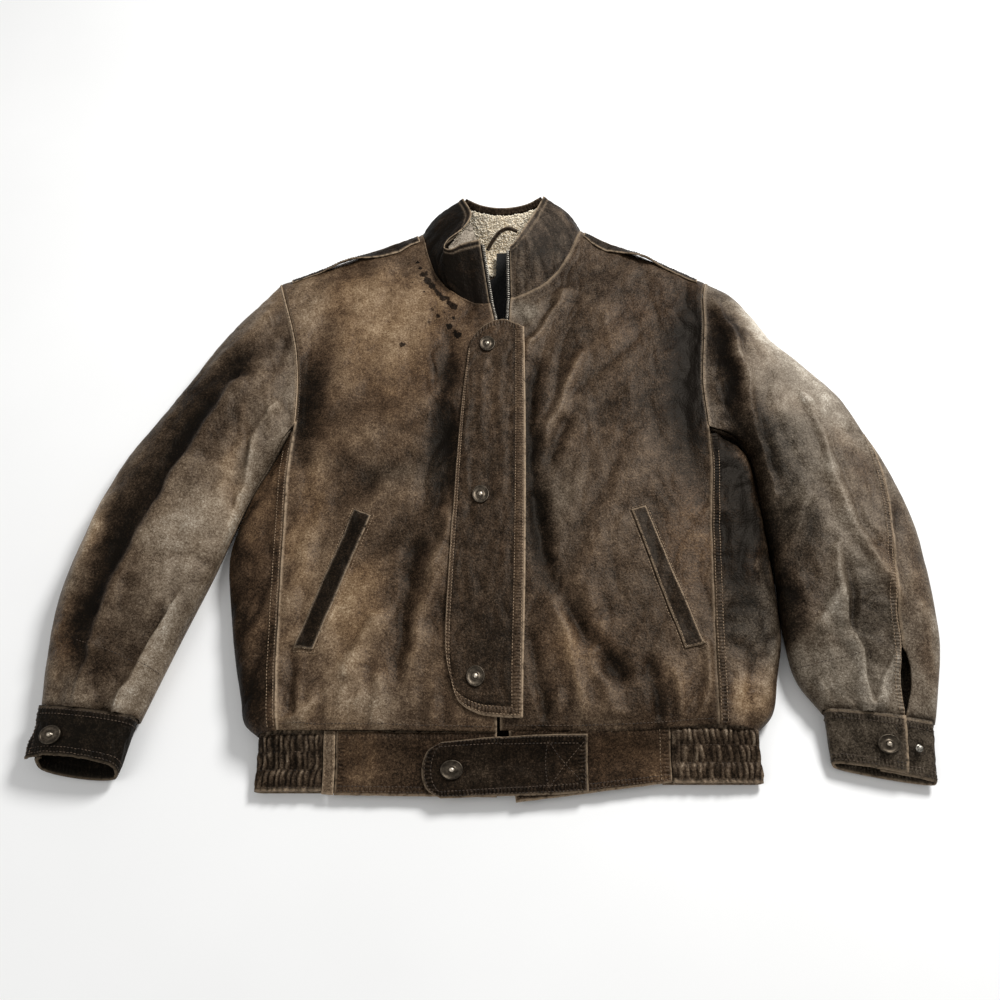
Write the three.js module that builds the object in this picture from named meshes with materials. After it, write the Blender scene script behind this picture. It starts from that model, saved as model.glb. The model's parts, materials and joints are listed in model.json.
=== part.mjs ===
// Worn leather blouson jacket, laid flat on its back with the front up.
// Millimetres. +Z up, +Y towards the collar, +X towards the wearer's left side.
// The surface the jacket lies on is Z = 0. Names say the wearer's right (-X) and left (+X).
import * as THREE from 'three';
import { mergeVertices } from 'three/addons/utils/BufferGeometryUtils.js';

// Driving dimensions
const GAP = 0.3;             // between pieces that meet
const SEAM = 0.3;            // half of the room kept between panels at a seam
const LIFT = 0.8;            // between a panel and what lies on it
const LEATHER = 2;           // body leather
const BAND = 2.8;            // folded leather of cuffs, waistband, flap and tab
const TRIM = 1.4;            // welts, straps, facings
const FLEECE = 2.6;          // pile lining
const BODY_TOP = 33;         // front of the body above the surface
const EDGE_TOP = 12;         // height of the body's and sleeves' outermost line
const HEM_TOP = 16;          // front at the waistband seam
const SLEEVE_TOP = 44;       // crown of a sleeve
const SHOULDER_ROLL = 40;    // width over which the front rolls down to the shoulder line
const HEM_ROLL = 26;         // width over which the front rolls down to the waistband
const BACK_ROLL = 9;         // radius of the edges where they reach the surface
const HEM_Y = { right: -319, left: -313 };
const CAP = { long: 11, wide: 9.2, tall: 3.6 };   // half axes and height of an oval snap cap

const COLOURS = {
  leather: ['#4a3829', 0.55, 0],
  sleeve: ['#554a3d', 0.58, 0],
  dark: ['#2e2620', 0.5, 0],
  tan: ['#6b4c33', 0.6, 0],
  facing: ['#6b665f', 0.5, 0],
  fleece: ['#c9b48f', 0.95, 0],
  cloth: ['#131110', 0.9, 0],
  bronze: ['#4b4036', 0.38, 1],
  metal: ['#6f6a60', 0.35, 1],
};

const jacket = new THREE.Group();
const up = new THREE.Vector3(0, 0, 1);
const down = new THREE.Vector3(0, 0, -1);
const clamp = THREE.MathUtils.clamp;
const lerp = THREE.MathUtils.lerp;
const smooth = (x, from, to) => THREE.MathUtils.smoothstep(x, from, to);

// ---------------------------------------------------------------- helpers

function point(p) {
  return new THREE.Vector3(p[0], p[1], p[2] ?? 0);
}

// A smooth line through points, read at an even pace from 0 to 1.
function line(points) {
  const curve = new THREE.CatmullRomCurve3(points.map(point), false, 'centripetal');
  return (t) => curve.getPointAt(clamp(t, 0, 1));
}

// Lines end to end with a corner between them; each takes an equal share of 0 to 1.
function chain(...lines) {
  return (t) => {
    const place = clamp(t, 0, 1) * lines.length;
    const index = Math.min(Math.floor(place), lines.length - 1);
    return lines[index](place - index);
  };
}

// The surface that fills four border lines: south and north run along u, west and east along v.
function patch(south, north, west, east) {
  const corner = [south(0), south(1), north(0), north(1)];
  return (u, v) => {
    const p = new THREE.Vector3();
    p.addScaledVector(south(u), 1 - v).addScaledVector(north(u), v);
    p.addScaledVector(west(v), 1 - u).addScaledVector(east(v), u);
    p.addScaledVector(corner[0], -(1 - u) * (1 - v)).addScaledVector(corner[1], -u * (1 - v));
    p.addScaledVector(corner[2], -(1 - u) * v).addScaledVector(corner[3], -u * v);
    return p;
  };
}

function steps(count, from = 0, to = 1) {
  return Array.from({ length: count + 1 }, (_, i) => lerp(from, to, i / count));
}

// A closed wall between two grids of points that match one to one.
function wallBetween(outer, inner) {
  const rows = outer.length;
  const columns = outer[0].length;
  const count = rows * columns;
  const positions = [...outer.flat(), ...inner.flat()].flatMap((p) => [p.x, p.y, p.z]);
  const faces = [];
  const quad = (a, b, c, d) => faces.push(a, b, c, a, c, d);
  for (let j = 0; j < rows - 1; j += 1) {
    for (let i = 0; i < columns - 1; i += 1) {
      const a = j * columns + i;
      quad(a, a + 1, a + columns + 1, a + columns);
      quad(count + a, count + a + columns, count + a + columns + 1, count + a + 1);
    }
  }
  const rim = [];
  for (let i = 0; i < columns; i += 1) rim.push(i);
  for (let j = 1; j < rows; j += 1) rim.push(j * columns + columns - 1);
  for (let i = columns - 2; i >= 0; i -= 1) rim.push((rows - 1) * columns + i);
  for (let j = rows - 2; j > 0; j -= 1) rim.push(j * columns);
  rim.forEach((a, k) => {
    const b = rim[(k + 1) % rim.length];
    quad(a, count + a, count + b, b);
  });
  return orient(positions, faces);
}

// Faces turned outwards: a closed body has a positive volume.
function orient(positions, faces) {
  const at = (i) => new THREE.Vector3().fromArray(positions, 3 * i);
  let volume = 0;
  for (let k = 0; k < faces.length; k += 3) {
    volume += at(faces[k]).dot(at(faces[k + 1]).cross(at(faces[k + 2])));
  }
  if (volume < 0) faces.reverse();
  const geometry = new THREE.BufferGeometry();
  geometry.setAttribute('position', new THREE.Float32BufferAttribute(positions, 3));
  geometry.setIndex(faces);
  return geometry;
}

// A wall whose outer face is given; `towards` says roughly where its inside lies.
function wall(face, us, vs, thickness, towards) {
  const e = 1e-3;
  const normal = (u, v) => {
    const du = face(Math.min(u + e, 1), v).sub(face(Math.max(u - e, 0), v));
    const dv = face(u, Math.min(v + e, 1)).sub(face(u, Math.max(v - e, 0)));
    return du.cross(dv).normalize();
  };
  const outer = vs.map((v) => us.map((u) => face(u, v)));
  const normals = vs.map((v) => us.map((u) => normal(u, v)));
  let facing = 0;
  vs.forEach((v, j) => us.forEach((u, i) => {
    facing += normals[j][i].dot(towards(outer[j][i].clone(), u, v).normalize());
  }));
  const depth = thickness * Math.sign(facing);
  const inner = outer.map((row, j) => row.map((p, i) => p.clone().addScaledVector(normals[j][i], depth)));
  return wallBetween(outer, inner);
}

// A flat-lying piece on another: its plan is moved out above the height below it.
function overlay(plan, us, vs, thickness, heightBelow, lift = LIFT) {
  const at = (u, v, extra) => {
    const p = plan(u, v);
    return p.setZ(heightBelow(p.x, p.y, u, v) + lift + extra);
  };
  const top = vs.map((v) => us.map((u) => at(u, v, thickness)));
  const under = vs.map((v) => us.map((u) => at(u, v, 0)));
  return wallBetween(top, under);
}

function add(name, geometry, finish, place = null) {
  const [color, roughness, metalness] = COLOURS[finish];
  const clean = geometry.clone();
  clean.deleteAttribute('normal');
  clean.deleteAttribute('uv');
  const mesh = new THREE.Mesh(
    mergeVertices(clean, 1e-4),
    new THREE.MeshStandardMaterial({ color, roughness, metalness }),
  );
  mesh.name = name;
  if (place) mesh.position.copy(place);
  jacket.add(mesh);
}

// Distance in plan from a point to the straight line between two others.
function distanceTo(x, y, a, b) {
  const t = clamp(((x - a[0]) * (b[0] - a[0]) + (y - a[1]) * (b[1] - a[1]))
    / ((b[0] - a[0]) ** 2 + (b[1] - a[1]) ** 2), 0, 1);
  return Math.hypot(x - lerp(a[0], b[0], t), y - lerp(a[1], b[1], t));
}

// A long soft fold: from one point to another, with a width and a height (a trough is negative).
function foldHeight(folds, x, y) {
  return folds.reduce((sum, [ax, ay, bx, by, width, height]) => {
    const d = distanceTo(x, y, [ax, ay], [bx, by]);
    return sum + height * Math.exp(-((d / width) ** 2));
  }, 0);
}

// A rounded rise from 0 at an edge to 1 a roll away.
function roll(distance, width) {
  const t = clamp(1 - distance / width, 0, 1);
  return Math.sqrt(1 - t * t);
}

// ---------------------------------------------------------------- outlines, in plan

const NECK_POINT = { right: [-97, 342], left: [110, 348] };
const SHOULDER_TIP = { right: [-270, 257], left: [262, 259] };
const NECK_FRONT = { right: [-8, 212], left: [17, 220] };
const PIT = { right: [-229, 40], left: [240, 34] };

const NECK_SEAM = {
  right: [NECK_FRONT.right, [-20, 211], [-48, 226], [-71, 252], [-84, 284], NECK_POINT.right],
  left: [NECK_FRONT.left, [38, 228], [62, 246], [90, 290], NECK_POINT.left],
};
const SIDE_SEAM = {
  right: [[-210, -317], [-213, -291], [-217, -254], [-221, -192], [-227, -86], [-230, -14], PIT.right],
  left: [[215, -311], [217, -271], [221, -208], [230, -91], [238, -20], PIT.left],
};
const ARMHOLE = {
  right: [PIT.right, [-233, 115], [-240, 155], SHOULDER_TIP.right],
  left: [PIT.left, [240, 95], [250, 185], [253, 228], SHOULDER_TIP.left],
};
const BODY_EDGE = {
  right: [[-231, -318], [-246, -305], [-252, -282], [-262, -246], [-273, -196], [-284, -128],
    [-281, -97], [-266, -47], [-246, 1], [-232, 38]],
  left: [[256, -313], [272, -296], [282, -258], [291, -214], [289, -150], [286, -75],
    [283, -13], [272, 14], [243, 30]],
};
const SLEEVE_OUTER = {
  right: [SHOULDER_TIP.right, [-294, 221], [-325, 174], [-355, 113], [-386, 54], [-416, -5],
    [-432, -52], [-450, -137], [-455, -184], [-452, -244], [-447, -292]],
  left: [SHOULDER_TIP.left, [288, 240], [311, 203], [331, 165], [365, 126], [401, 79], [418, 37],
    [437, -13], [453, -89], [453.5, -196], [450, -231], [429, -307]],
};
const SLEEVE_INNER = {
  right: [PIT.right, [-249, 1], [-269, -47], [-284, -95], [-298, -145], [-320, -213], [-348, -303]],
  left: [PIT.left, [275, 18], [287, -13], [290, -75], [294, -150], [294, -218], [300, -260], [321, -293]],
};
const CUFF_TOP = {
  right: [SLEEVE_OUTER.right.at(-1), SLEEVE_INNER.right.at(-1)],
  left: [SLEEVE_OUTER.left.at(-1), SLEEVE_INNER.left.at(-1)],
};
const SIGN = { right: -1, left: 1 };

const BODY_FOLDS = {
  right: [[-60, 190, -150, 60, 26, -2], [-90, -150, -70, -290, 14, -2.5], [-150, -255, -140, -300, 9, -2]],
  left: [[70, 215, 34, 90, 12, 2.5], [60, 205, 50, 60, 12, -2.5], [48, -60, 90, -220, 16, 3],
    [205, -245, 195, -300, 10, -2.5]],
};
const SLEEVE_FOLDS = {
  right: [[-330, 70, -372, -30, 12, 3], [-372, -30, -410, -150, 12, 4], [-372, 40, -430, -150, 22, -4],
    [-372, -250, -382, -290, 6, -3]],
  left: [[268, 180, 276, 40, 16, 3], [345, -100, 372, -235, 14, 3.5], [384, -200, 378, -290, 8, -3],
    [395, -40, 404, -180, 12, -2.5]],
};

// ---------------------------------------------------------------- body

// Height of the front of the body.
function bodyTop(side, x, y) {
  const shoulder = distanceTo(x, y, NECK_POINT[side], SHOULDER_TIP[side]);
  const shoulderDrop = (BODY_TOP - EDGE_TOP) * (1 - roll(shoulder, SHOULDER_ROLL));
  const hemDrop = (BODY_TOP - HEM_TOP) * (1 - roll(y - HEM_Y[side], HEM_ROLL));
  const still = roll(shoulder, SHOULDER_ROLL) * roll(y - HEM_Y[side], HEM_ROLL);
  return BODY_TOP - shoulderDrop - hemDrop + still * foldHeight(BODY_FOLDS[side], x, y);
}

const ZIP_EDGE = {
  right: [[1, -318], [1, 120], [-1, 150], [-3, 185], NECK_FRONT.right],
  left: [[4, -316], [5, 100], [13, 142], [15, 185], NECK_FRONT.left],
};

function buildFront(side) {
  const hem = line([ZIP_EDGE[side][0], [SIGN[side] * 110, -317], SIDE_SEAM[side][0]]);
  const top = chain(line(NECK_SEAM[side]), line([NECK_POINT[side], SHOULDER_TIP[side]]));
  const flank = chain(line(SIDE_SEAM[side]), line(ARMHOLE[side]));
  const plan = patch(hem, top, line(ZIP_EDGE[side]), flank);
  const face = (u, v) => {
    const p = plan(u, v);
    return p.setZ(bodyTop(side, p.x, p.y));
  };
  const trim = SEAM / 250;
  const us = steps(10, trim, 1 - trim);
  const vs = [0.001, 0.04, ...steps(9, 0.1, 0.86), 0.92, 0.965, 0.998];
  add(`front_${side}`, wall(face, us, vs, LEATHER, () => down), 'leather');
}

// The side panel runs from the front seam round the edge to the back seam on the surface.
const FLOOR_STRIP = 24;      // side panel's width on the surface beyond its rounded edge

function floorStrip(v) {
  return FLOOR_STRIP * smooth(1 - v, 0, 0.35) + 2;
}

function buildSidePanel(side) {
  const seam = line(SIDE_SEAM[side]);
  const edge = line(BODY_EDGE[side]);
  const inwards = -SIGN[side];
  const face = (u, v) => {
    const from = seam(v);
    const to = edge(v);
    const top = bodyTop(side, from.x, from.y);
    const low = Math.min(EDGE_TOP, top) - 2;
    if (u < 0.6) {
      const a = (u / 0.6) * (Math.PI / 2);
      const across = Math.sin(a) ** 0.85;
      return new THREE.Vector3(
        lerp(from.x, to.x, across),
        lerp(from.y, to.y, across),
        low + (top - low) * Math.cos(a) ** 0.85,
      );
    }
    if (u < 0.82) {
      const a = ((u - 0.6) / 0.22) * (Math.PI / 2);
      return new THREE.Vector3(
        to.x + inwards * BACK_ROLL * (1 - Math.cos(a)),
        to.y,
        low * (1 - Math.sin(a)),
      );
    }
    const reach = BACK_ROLL + floorStrip(v) * ((u - 0.82) / 0.18);
    return new THREE.Vector3(to.x + inwards * reach, to.y, 0);
  };
  const centre = (p) => new THREE.Vector3(SIGN[side] * 150, p.y, 12).sub(p);
  const us = [0.008, 0.15, 0.3, 0.45, 0.6, 0.7, 0.82, 0.995];
  const vs = [0.002, 0.03, 0.08, ...steps(8, 0.16, 0.95)];
  add(`side_panel_${side}`, wall(face, us, vs, LEATHER, centre), 'leather');
}

// The back lies on the surface and rolls up to meet the shoulder lines.
const BACK_NECK = [NECK_POINT.right, [-62, 336], [6, 320], [74, 338], NECK_POINT.left];

function backFlank(side) {
  const edge = line(BODY_EDGE[side]);
  const inwards = -SIGN[side];
  const foot = steps(10, 0, 0.95).map((v) => {
    const p = edge(v);
    const out = Math.abs(p.x) - BACK_ROLL - floorStrip(v) - 6 * SEAM;
    return [SIGN[side] * (v > 0.9 ? Math.min(out, Math.abs(PIT[side][0]) - 4 * SEAM) : out), p.y];
  });
  const armhole = ARMHOLE[side].slice(1).map(([x, y]) => [x + 4 * inwards * SEAM, y]);
  return chain(line(foot), line([foot.at(-1), ...armhole]));
}

function buildBack() {
  const west = backFlank('right');
  const east = backFlank('left');
  const hem = line([west(0).toArray(), [0, -317], east(0).toArray()]);
  const top = chain(
    line([SHOULDER_TIP.right, NECK_POINT.right]),
    line(BACK_NECK),
    line([NECK_POINT.left, SHOULDER_TIP.left]),
  );
  const plan = patch(hem, top, west, east);
  const rise = EDGE_TOP - 2;
  const height = (x, y) => {
    const side = x < 0 ? 'right' : 'left';
    const d = distanceTo(x, y, NECK_POINT[side], SHOULDER_TIP[side]);
    return rise * (1 - roll(d, BACK_ROLL + 3));
  };
  const face = (u, v) => {
    const p = plan(u, v);
    return p.setZ(height(p.x, p.y));
  };
  const us = steps(12, 0.003, 0.997);
  const vs = [0.001, 0.02, 0.05, 0.1, 0.22, 0.36, 0.47, 0.5, 0.62, 0.76, 0.9, 0.955, 0.98, 0.997];
  add('back_panel', wall(face, us, vs, LEATHER, () => up), 'leather');
}

// ---------------------------------------------------------------- sleeves

// Where the outer seam lies round the sleeve, in degrees from its outer edge over the top.
const OUTER_SEAM = {
  right: () => 3,
  left: (v) => 3 + 63 * Math.sin((Math.PI / 2) * clamp((v - 0.4) / 0.42, 0, 1)),
};
const VENT = { from: 0.87, turn: 5 };        // open slit above the cuff

function sleevePlan(side) {
  const root = line([...ARMHOLE[side]].reverse());
  return patch(root, line(CUFF_TOP[side]), line(SLEEVE_OUTER[side]), line(SLEEVE_INNER[side]));
}

const CUFF_HEIGHT = { right: 36, left: 28 };

// The ring of a sleeve: `turn` runs from its outer edge over the top to the inner edge (180)
// and back along the surface (360).
function sleeveFace(side) {
  const plan = sleevePlan(side);
  return (turn, v) => {
    const a = THREE.MathUtils.degToRad(turn % 360);
    const u = (1 - Math.cos(a)) / 2;
    const p = plan(u, v);
    const span = plan(0, v).distanceTo(plan(1, v));
    const crown = lerp(SLEEVE_TOP, CUFF_HEIGHT[side], smooth(v, 0.72, 1));
    const inner = lerp(BODY_TOP, EDGE_TOP + 4, smooth(v, 0, 0.16));
    const edge = lerp(EDGE_TOP, inner, u);
    const dome = Math.max(Math.sin(a), 0) ** 0.8;
    const folds = dome * smooth(v, 0.05, 0.15) * foldHeight(SLEEVE_FOLDS[side], p.x, p.y);
    const arched = edge + (crown - edge) * dome + folds;
    const joined = bodyTop(side, plan(u, 0).x, plan(u, 0).y);
    const top = lerp(joined, arched, smooth(v, 0, 0.14));
    const edgeHere = lerp(lerp(joined, edge, smooth(v, 0, 0.14)), edge, u < 0.5 ? 1 : 0);
    if (turn % 360 < 180) return p.setZ(top);
    const fromEdge = Math.min(u, 1 - u) * span;
    return p.setZ(edgeHere * (1 - roll(fromEdge, BACK_ROLL)));
  };
}

function buildSleeve(side) {
  const ring = sleeveFace(side);
  const plan = sleevePlan(side);
  const seam = OUTER_SEAM[side];
  const opening = (v) => (side === 'left' ? VENT.turn * Math.sin(Math.PI * smooth(v, VENT.from, 1.06)) : 0);
  const trim = 0.25;
  const upperFace = (u, v) => ring(lerp(seam(v) + trim + 0.4 * opening(v), 180 - trim, u), v);
  const corner = (v) => trim + 2.4 * (1 - smooth(v, 0, 0.18));
  // The under sleeve: along the surface to the outer edge, then over it to the seam.
  const edgeAt = 0.7;
  const underFace = (u, v) => {
    if (u <= edgeAt) return ring(lerp(180 + corner(v), 359.99, u / edgeAt), v);
    return ring(lerp(360, 360 + seam(v) - trim - opening(v), (u - edgeAt) / (1 - edgeAt)), v);
  };
  const heart = (p, u, v) => plan(0.5, v).setZ(17).sub(p);
  const vs = [0.003, 0.06, 0.12, ...steps(8, 0.2, 0.93), 0.998];
  const upper = wall(upperFace, steps(10), vs, LEATHER, heart);
  const overTheEdge = side === 'left' ? [0.8, 0.9, 1] : [1];
  const underTurns = [0, 0.035, 0.09, 0.15, 0.35, 0.55, 0.61, 0.665, edgeAt, ...overTheEdge];
  const under = wall(underFace, underTurns, vs, LEATHER, heart);
  add(`sleeve_upper_${side}`, upper, 'sleeve');
  add(`sleeve_under_${side}`, under, 'sleeve');
}

// ---------------------------------------------------------------- cuffs

// A cuff is a band that goes once round and laps under its own end.
const CUFF = {
  right: { top: [[-447, -292.8], [-348, -303.8]], mouth: [[-443, -352], [-358, -362]],
    tall: [36, 33], start: 6, lap: 26, slant: 15 },
  left: { top: [[429, -307.8], [321, -293.8]], mouth: [[423, -366], [322, -347]],
    tall: [28, 17], start: 66, lap: 30, slant: 6 },
};

function cuffFace(side) {
  const { top, mouth, tall, start, lap, slant } = CUFF[side];
  const loops = 360 + lap;
  return (u, v) => {
    const turn = start + loops * u;
    const a = THREE.MathUtils.degToRad(turn);
    const sunk = (BAND + GAP + 0.5) * u;
    const outer = new THREE.Vector2(...top[0]).lerp(new THREE.Vector2(...mouth[0]), v);
    const inner = new THREE.Vector2(...top[1]).lerp(new THREE.Vector2(...mouth[1]), v);
    const height = lerp(tall[0], tall[1], v);
    const half = outer.distanceTo(inner) / 2 - sunk;
    const across = -Math.cos(a) * half;
    const dir = inner.clone().sub(outer).normalize();
    const middle = outer.clone().add(inner).multiplyScalar(0.5);
    const lift = Math.sign(Math.sin(a)) * Math.abs(Math.sin(a)) ** 0.6;
    const z = height / 2 + lift * (height / 2 - sunk);
    return new THREE.Vector3(
      middle.x + dir.x * across,
      middle.y + dir.y * across + slant * (z / height) * v,
      z,
    );
  };
}

function buildCuff(side) {
  const face = cuffFace(side);
  const { top, mouth, tall } = CUFF[side];
  const heart = (p, u, v) => new THREE.Vector3(
    lerp(top[0][0] + top[1][0], mouth[0][0] + mouth[1][0], v) / 2,
    p.y,
    lerp(tall[0], tall[1], v) / 2,
  ).sub(p);
  add(`cuff_${side}`, wall(face, steps(30), [0.012, 0.5, 1], BAND, heart), 'dark');
}

// ---------------------------------------------------------------- waistband

const BAND_TOP = { right: -320, left: -314 };
const BAND_FOOT = { right: -371, left: -363 };
const BAND_HEIGHT = { top: 15, foot: 11 };

function bandTop(x, y) {
  const side = x < 4 ? 'right' : 'left';
  return lerp(BAND_HEIGHT.top, BAND_HEIGHT.foot, clamp((y - BAND_TOP[side]) / (BAND_FOOT[side] - BAND_TOP[side]), 0, 1));
}

function buildBandPanel(name, outline, finish) {
  const [a, b, c, d] = outline;
  const plan = patch(line([a, b]), line([d, c]), line([a, d]), line([b, c]));
  add(name, overlay(plan, steps(6), steps(2), BAND, bandTop, -BAND), finish);
}

function buildElastic(side, frontX, edgeX, backX) {
  const inwards = -SIGN[side];
  const radius = 8;
  const face = (u, v) => {
    const y = lerp(BAND_TOP[side] - SEAM, BAND_FOOT[side] + 2, v);
    const top = bandTop(frontX, y);
    const bulge = 2 * Math.sin(Math.PI * clamp(u / 0.5, 0, 1));
    if (u < 0.5) {
      const a = (u / 0.5) * (Math.PI / 2);
      const across = Math.sin(a) ** 0.8;
      const drop = Math.cos(a) ** 0.35;
      return new THREE.Vector3(lerp(frontX, edgeX, across), y, 7 + (top - 7) * drop + bulge * (1 - across));
    }
    const a = clamp((u - 0.5) / 0.25, 0, 1) * (Math.PI / 2);
    const flat = clamp((u - 0.75) / 0.25, 0, 1);
    const x = edgeX + inwards * radius * (1 - Math.cos(a)) + (backX - edgeX - inwards * radius) * flat;
    return new THREE.Vector3(x, y, 7 * (1 - Math.sin(a)));
  };
  const centre = (p) => new THREE.Vector3(lerp(frontX, edgeX, 0.4), p.y, 6).sub(p);
  const us = [0, 0.1, 0.2, 0.3, 0.4, 0.45, 0.5, 0.56, 0.62, 0.68, 0.75, 1];
  add(`elastic_${side}`, wall(face, us, steps(3), BAND - 0.8, centre), 'dark');
}

function buildWaistband() {
  buildBandPanel('waistband_right', [[-153.4, -373], [1, -375], [1, -321], [-153.4, -321]], 'leather');
  buildBandPanel('join_strip_right', [[-165.4, -372], [-154, -373], [-154, -321], [-165.4, -321]], 'tan');
  buildBandPanel('waistband_left', [[19, -380], [168.4, -361], [168.4, -315], [12, -319]], 'leather');
  buildElastic('right', -166, -230, -150);
  buildElastic('left', 169, 256, 160);
  const back = patch(
    line([[-149.4, -368], [159.4, -360]]),
    line([[-149.4, -321], [159.4, -315]]),
    line([[-149.4, -368], [-149.4, -321]]),
    line([[159.4, -360], [159.4, -315]]),
  );
  add('waistband_back', overlay(back, steps(6), steps(1), BAND, () => 0, 0), 'leather');
}

const TAB = {
  south: line([[-52, -377], [0, -375], [60, -373], [88, -371]]),
  north: line([[-52, -327], [0, -322], [60, -319], [88, -319]]),
  west: line([[-52, -377], [-66, -368], [-71, -352], [-66, -335], [-52, -327]]),
  east: line([[88, -371], [88, -319]]),
};

function tabTop(x, y) {
  return bandTop(x, y) + LIFT + BAND;
}

function buildTab() {
  const plan = patch(TAB.south, TAB.north, TAB.west, TAB.east);
  add('waist_tab', overlay(plan, steps(8), steps(4), BAND, bandTop), 'dark');
}

// ---------------------------------------------------------------- storm flap, welts, straps

const FLAP = {
  south: line([[-43, -272], [-36, -290], [-17, -302], [5, -305], [26, -306]]),
  north: line([[-33, 140], [-28, 160], [-12, 179], [8, 186], [33, 174]]),
  west: line([[-43, -272], [-50, -239], [-49, -138], [-46, -69], [-44, -16], [-39, 71], [-33, 140]]),
  east: line([[26, -306], [27, -264], [30, -165], [33, 34], [33, 174]]),
};

function flapBase(x, y) {
  return Math.max(bodyTop('right', Math.min(x, 0), y), bodyTop('left', Math.max(x, 5), y));
}

function flapTop(x, y) {
  return flapBase(x, y) + LIFT + BAND;
}

function buildFlap() {
  const plan = patch(FLAP.south, FLAP.north, FLAP.west, FLAP.east);
  add('storm_flap', overlay(plan, steps(5), [0, 0.015, 0.03, 0.05, 0.08, ...steps(12, 0.13, 1)], BAND, flapBase), 'leather');
}

// The pocket welts: the four corners, from the top inner one round.
const WELT = {
  right: [[-153, -76], [-134, -84], [-182, -236], [-202, -234]],
  left: [[161, -71], [145, -76], [188, -235], [208, -231]],
};

function buildWelt(side) {
  const [a, b, c, d] = WELT[side];
  const plan = patch(line([d, c]), line([a, b]), line([d, a]), line([c, b]));
  const base = (x, y) => bodyTop(side, x, y);
  add(`pocket_welt_${side}`, overlay(plan, steps(2), steps(8), TRIM, base), 'dark');
}

// The shoulder straps stand off the shoulder in the middle.
const STRAP = {
  right: { front: [[-96, 316], [-136, 292], [-176, 284], [-214, 268], [-258, 246]],
    back: [[-100, 333], [-136, 315], [-176, 296], [-214, 277], [-260, 254]], bulge: 0.56 },
  left: { front: [[109, 326], [130, 304], [166, 292], [190, 284], [222, 264], [252, 246]],
    back: [[112, 340], [134, 323], [168, 307], [192, 295], [224, 277], [254, 256]], bulge: 0.5 },
};
const STRAP_BULGE = 9;

function buildStrap(side) {
  const { front, back, bulge } = STRAP[side];
  const plan = patch(line(front), line(back), line([front[0], back[0]]), line([front.at(-1), back.at(-1)]));
  const base = (x, y, u) => {
    const rise = Math.exp(-(((u - bulge) / 0.14) ** 2));
    return bodyTop(side, x, y) + 0.3 + STRAP_BULGE * rise;
  };
  const us = steps(14, 0.01, 0.97);
  add(`shoulder_strap_${side}`, overlay(plan, us, steps(3), TRIM + 0.6, base), 'leather');
}

// ---------------------------------------------------------------- collar

const COLLAR_TOP = {
  right: [[-21, 293, 60], [-42, 286, 60], [-57, 279, 58], [-65, 283, 57], [-61, 294, 58], [-41, 315, 59],
    [-32, 340, 56], [-43, 376, 48]],
  left: [[16, 282, 60], [21, 288, 60], [35, 317, 59], [48, 346, 55], [60, 380, 48]],
};
const COLLAR_BACK_TOP = [[-42, 376, 47], [-20, 367, 43], [8, 364, 41], [38, 369, 43], [59, 380, 47]];

// A point of the neck seam, just above the front that it is sewn to.
function neckSeam(side) {
  const plan = line(NECK_SEAM[side]);
  return (t) => {
    const p = plan(t);
    return p.setZ(bodyTop(side, p.x, p.y));
  };
}

function buildCollarFront(side) {
  const foot = neckSeam(side);
  const rim = line(COLLAR_TOP[side]);
  const heart = new THREE.Vector3(6, 318, 20);
  const face = (u, v) => {
    const p = foot(u).lerp(rim(u), v);
    const out = p.clone().sub(heart).setZ(0).normalize();
    return p.addScaledVector(out, 7 * Math.sin(Math.PI * v) * smooth(u, 0.1, 0.4)).add(up.clone().multiplyScalar(1.4 * LIFT));
  };
  const shape = wall(face, steps(18, 0.004, 0.985), steps(4, 0.03, 1), TRIM, (p) => heart.clone().sub(p));
  add(`collar_${side}`, shape, 'dark');
}

function backFoot(t) {
  const p = line(BACK_NECK)(t);
  const side = p.x < 0 ? 'right' : 'left';
  const d = distanceTo(p.x, p.y, NECK_POINT[side], SHOULDER_TIP[side]);
  return p.setZ(2 + (EDGE_TOP - 2) * (1 - roll(d, BACK_ROLL + 3)));
}

function buildCollarBack() {
  const rim = line(COLLAR_BACK_TOP);
  const face = (u, v) => backFoot(lerp(0.05, 0.95, u)).lerp(rim(u), v).add(new THREE.Vector3(0, 1.5, 0.6));
  const inside = () => new THREE.Vector3(0, -0.6, 1);
  add('collar_back', wall(face, steps(12, 0.03, 0.97), steps(4, 0.03, 1), LEATHER, inside), 'leather');

  const strip = (u, v) => {
    const p = face(lerp(0.06, 0.94, u), lerp(0.86, 1, v));
    return p.add(new THREE.Vector3(0, -3.2, 3));
  };
  add('collar_edge_strip', wall(strip, steps(12), steps(1), TRIM, () => new THREE.Vector3(0, -0.6, 1)), 'dark');

  // The fleece starts on the back inside the neck and climbs the collar.
  const bend = 0.35;
  const nap = (u, v) => {
    const foot = face(lerp(0.14, 0.86, u), 0.12).add(new THREE.Vector3(0, -3.4, 3));
    if (v < bend) return new THREE.Vector3(lerp(-34, 44, u), 284, 2.6).lerp(foot, v / bend);
    const climb = lerp(0.12, 0.83, (v - bend) / (1 - bend));
    return face(lerp(0.14, 0.86, u), climb).add(new THREE.Vector3(0, -3.4, 3));
  };
  const fleece = wall(nap, steps(8), [0, 0.17, bend, 0.5, 0.75, 1], FLEECE, () => new THREE.Vector3(0, -0.6, 1));
  add('neck_fleece', fleece, 'fleece');
}

// The smooth leather facing that shows inside the wearer's right half of the collar.
function buildCollarFacing() {
  const low = line([[-56, 284, 47], [-41, 293, 41], [-22, 302, 36]]);
  const high = line([[-53, 286, 51], [-35, 309, 50], [-28, 332, 46]]);
  const face = (u, v) => low(u).lerp(high(u), v);
  const towards = () => new THREE.Vector3(-0.4, 0.5, -1);
  add('collar_facing', wall(face, steps(5), steps(2), TRIM, towards), 'facing');
}

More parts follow.
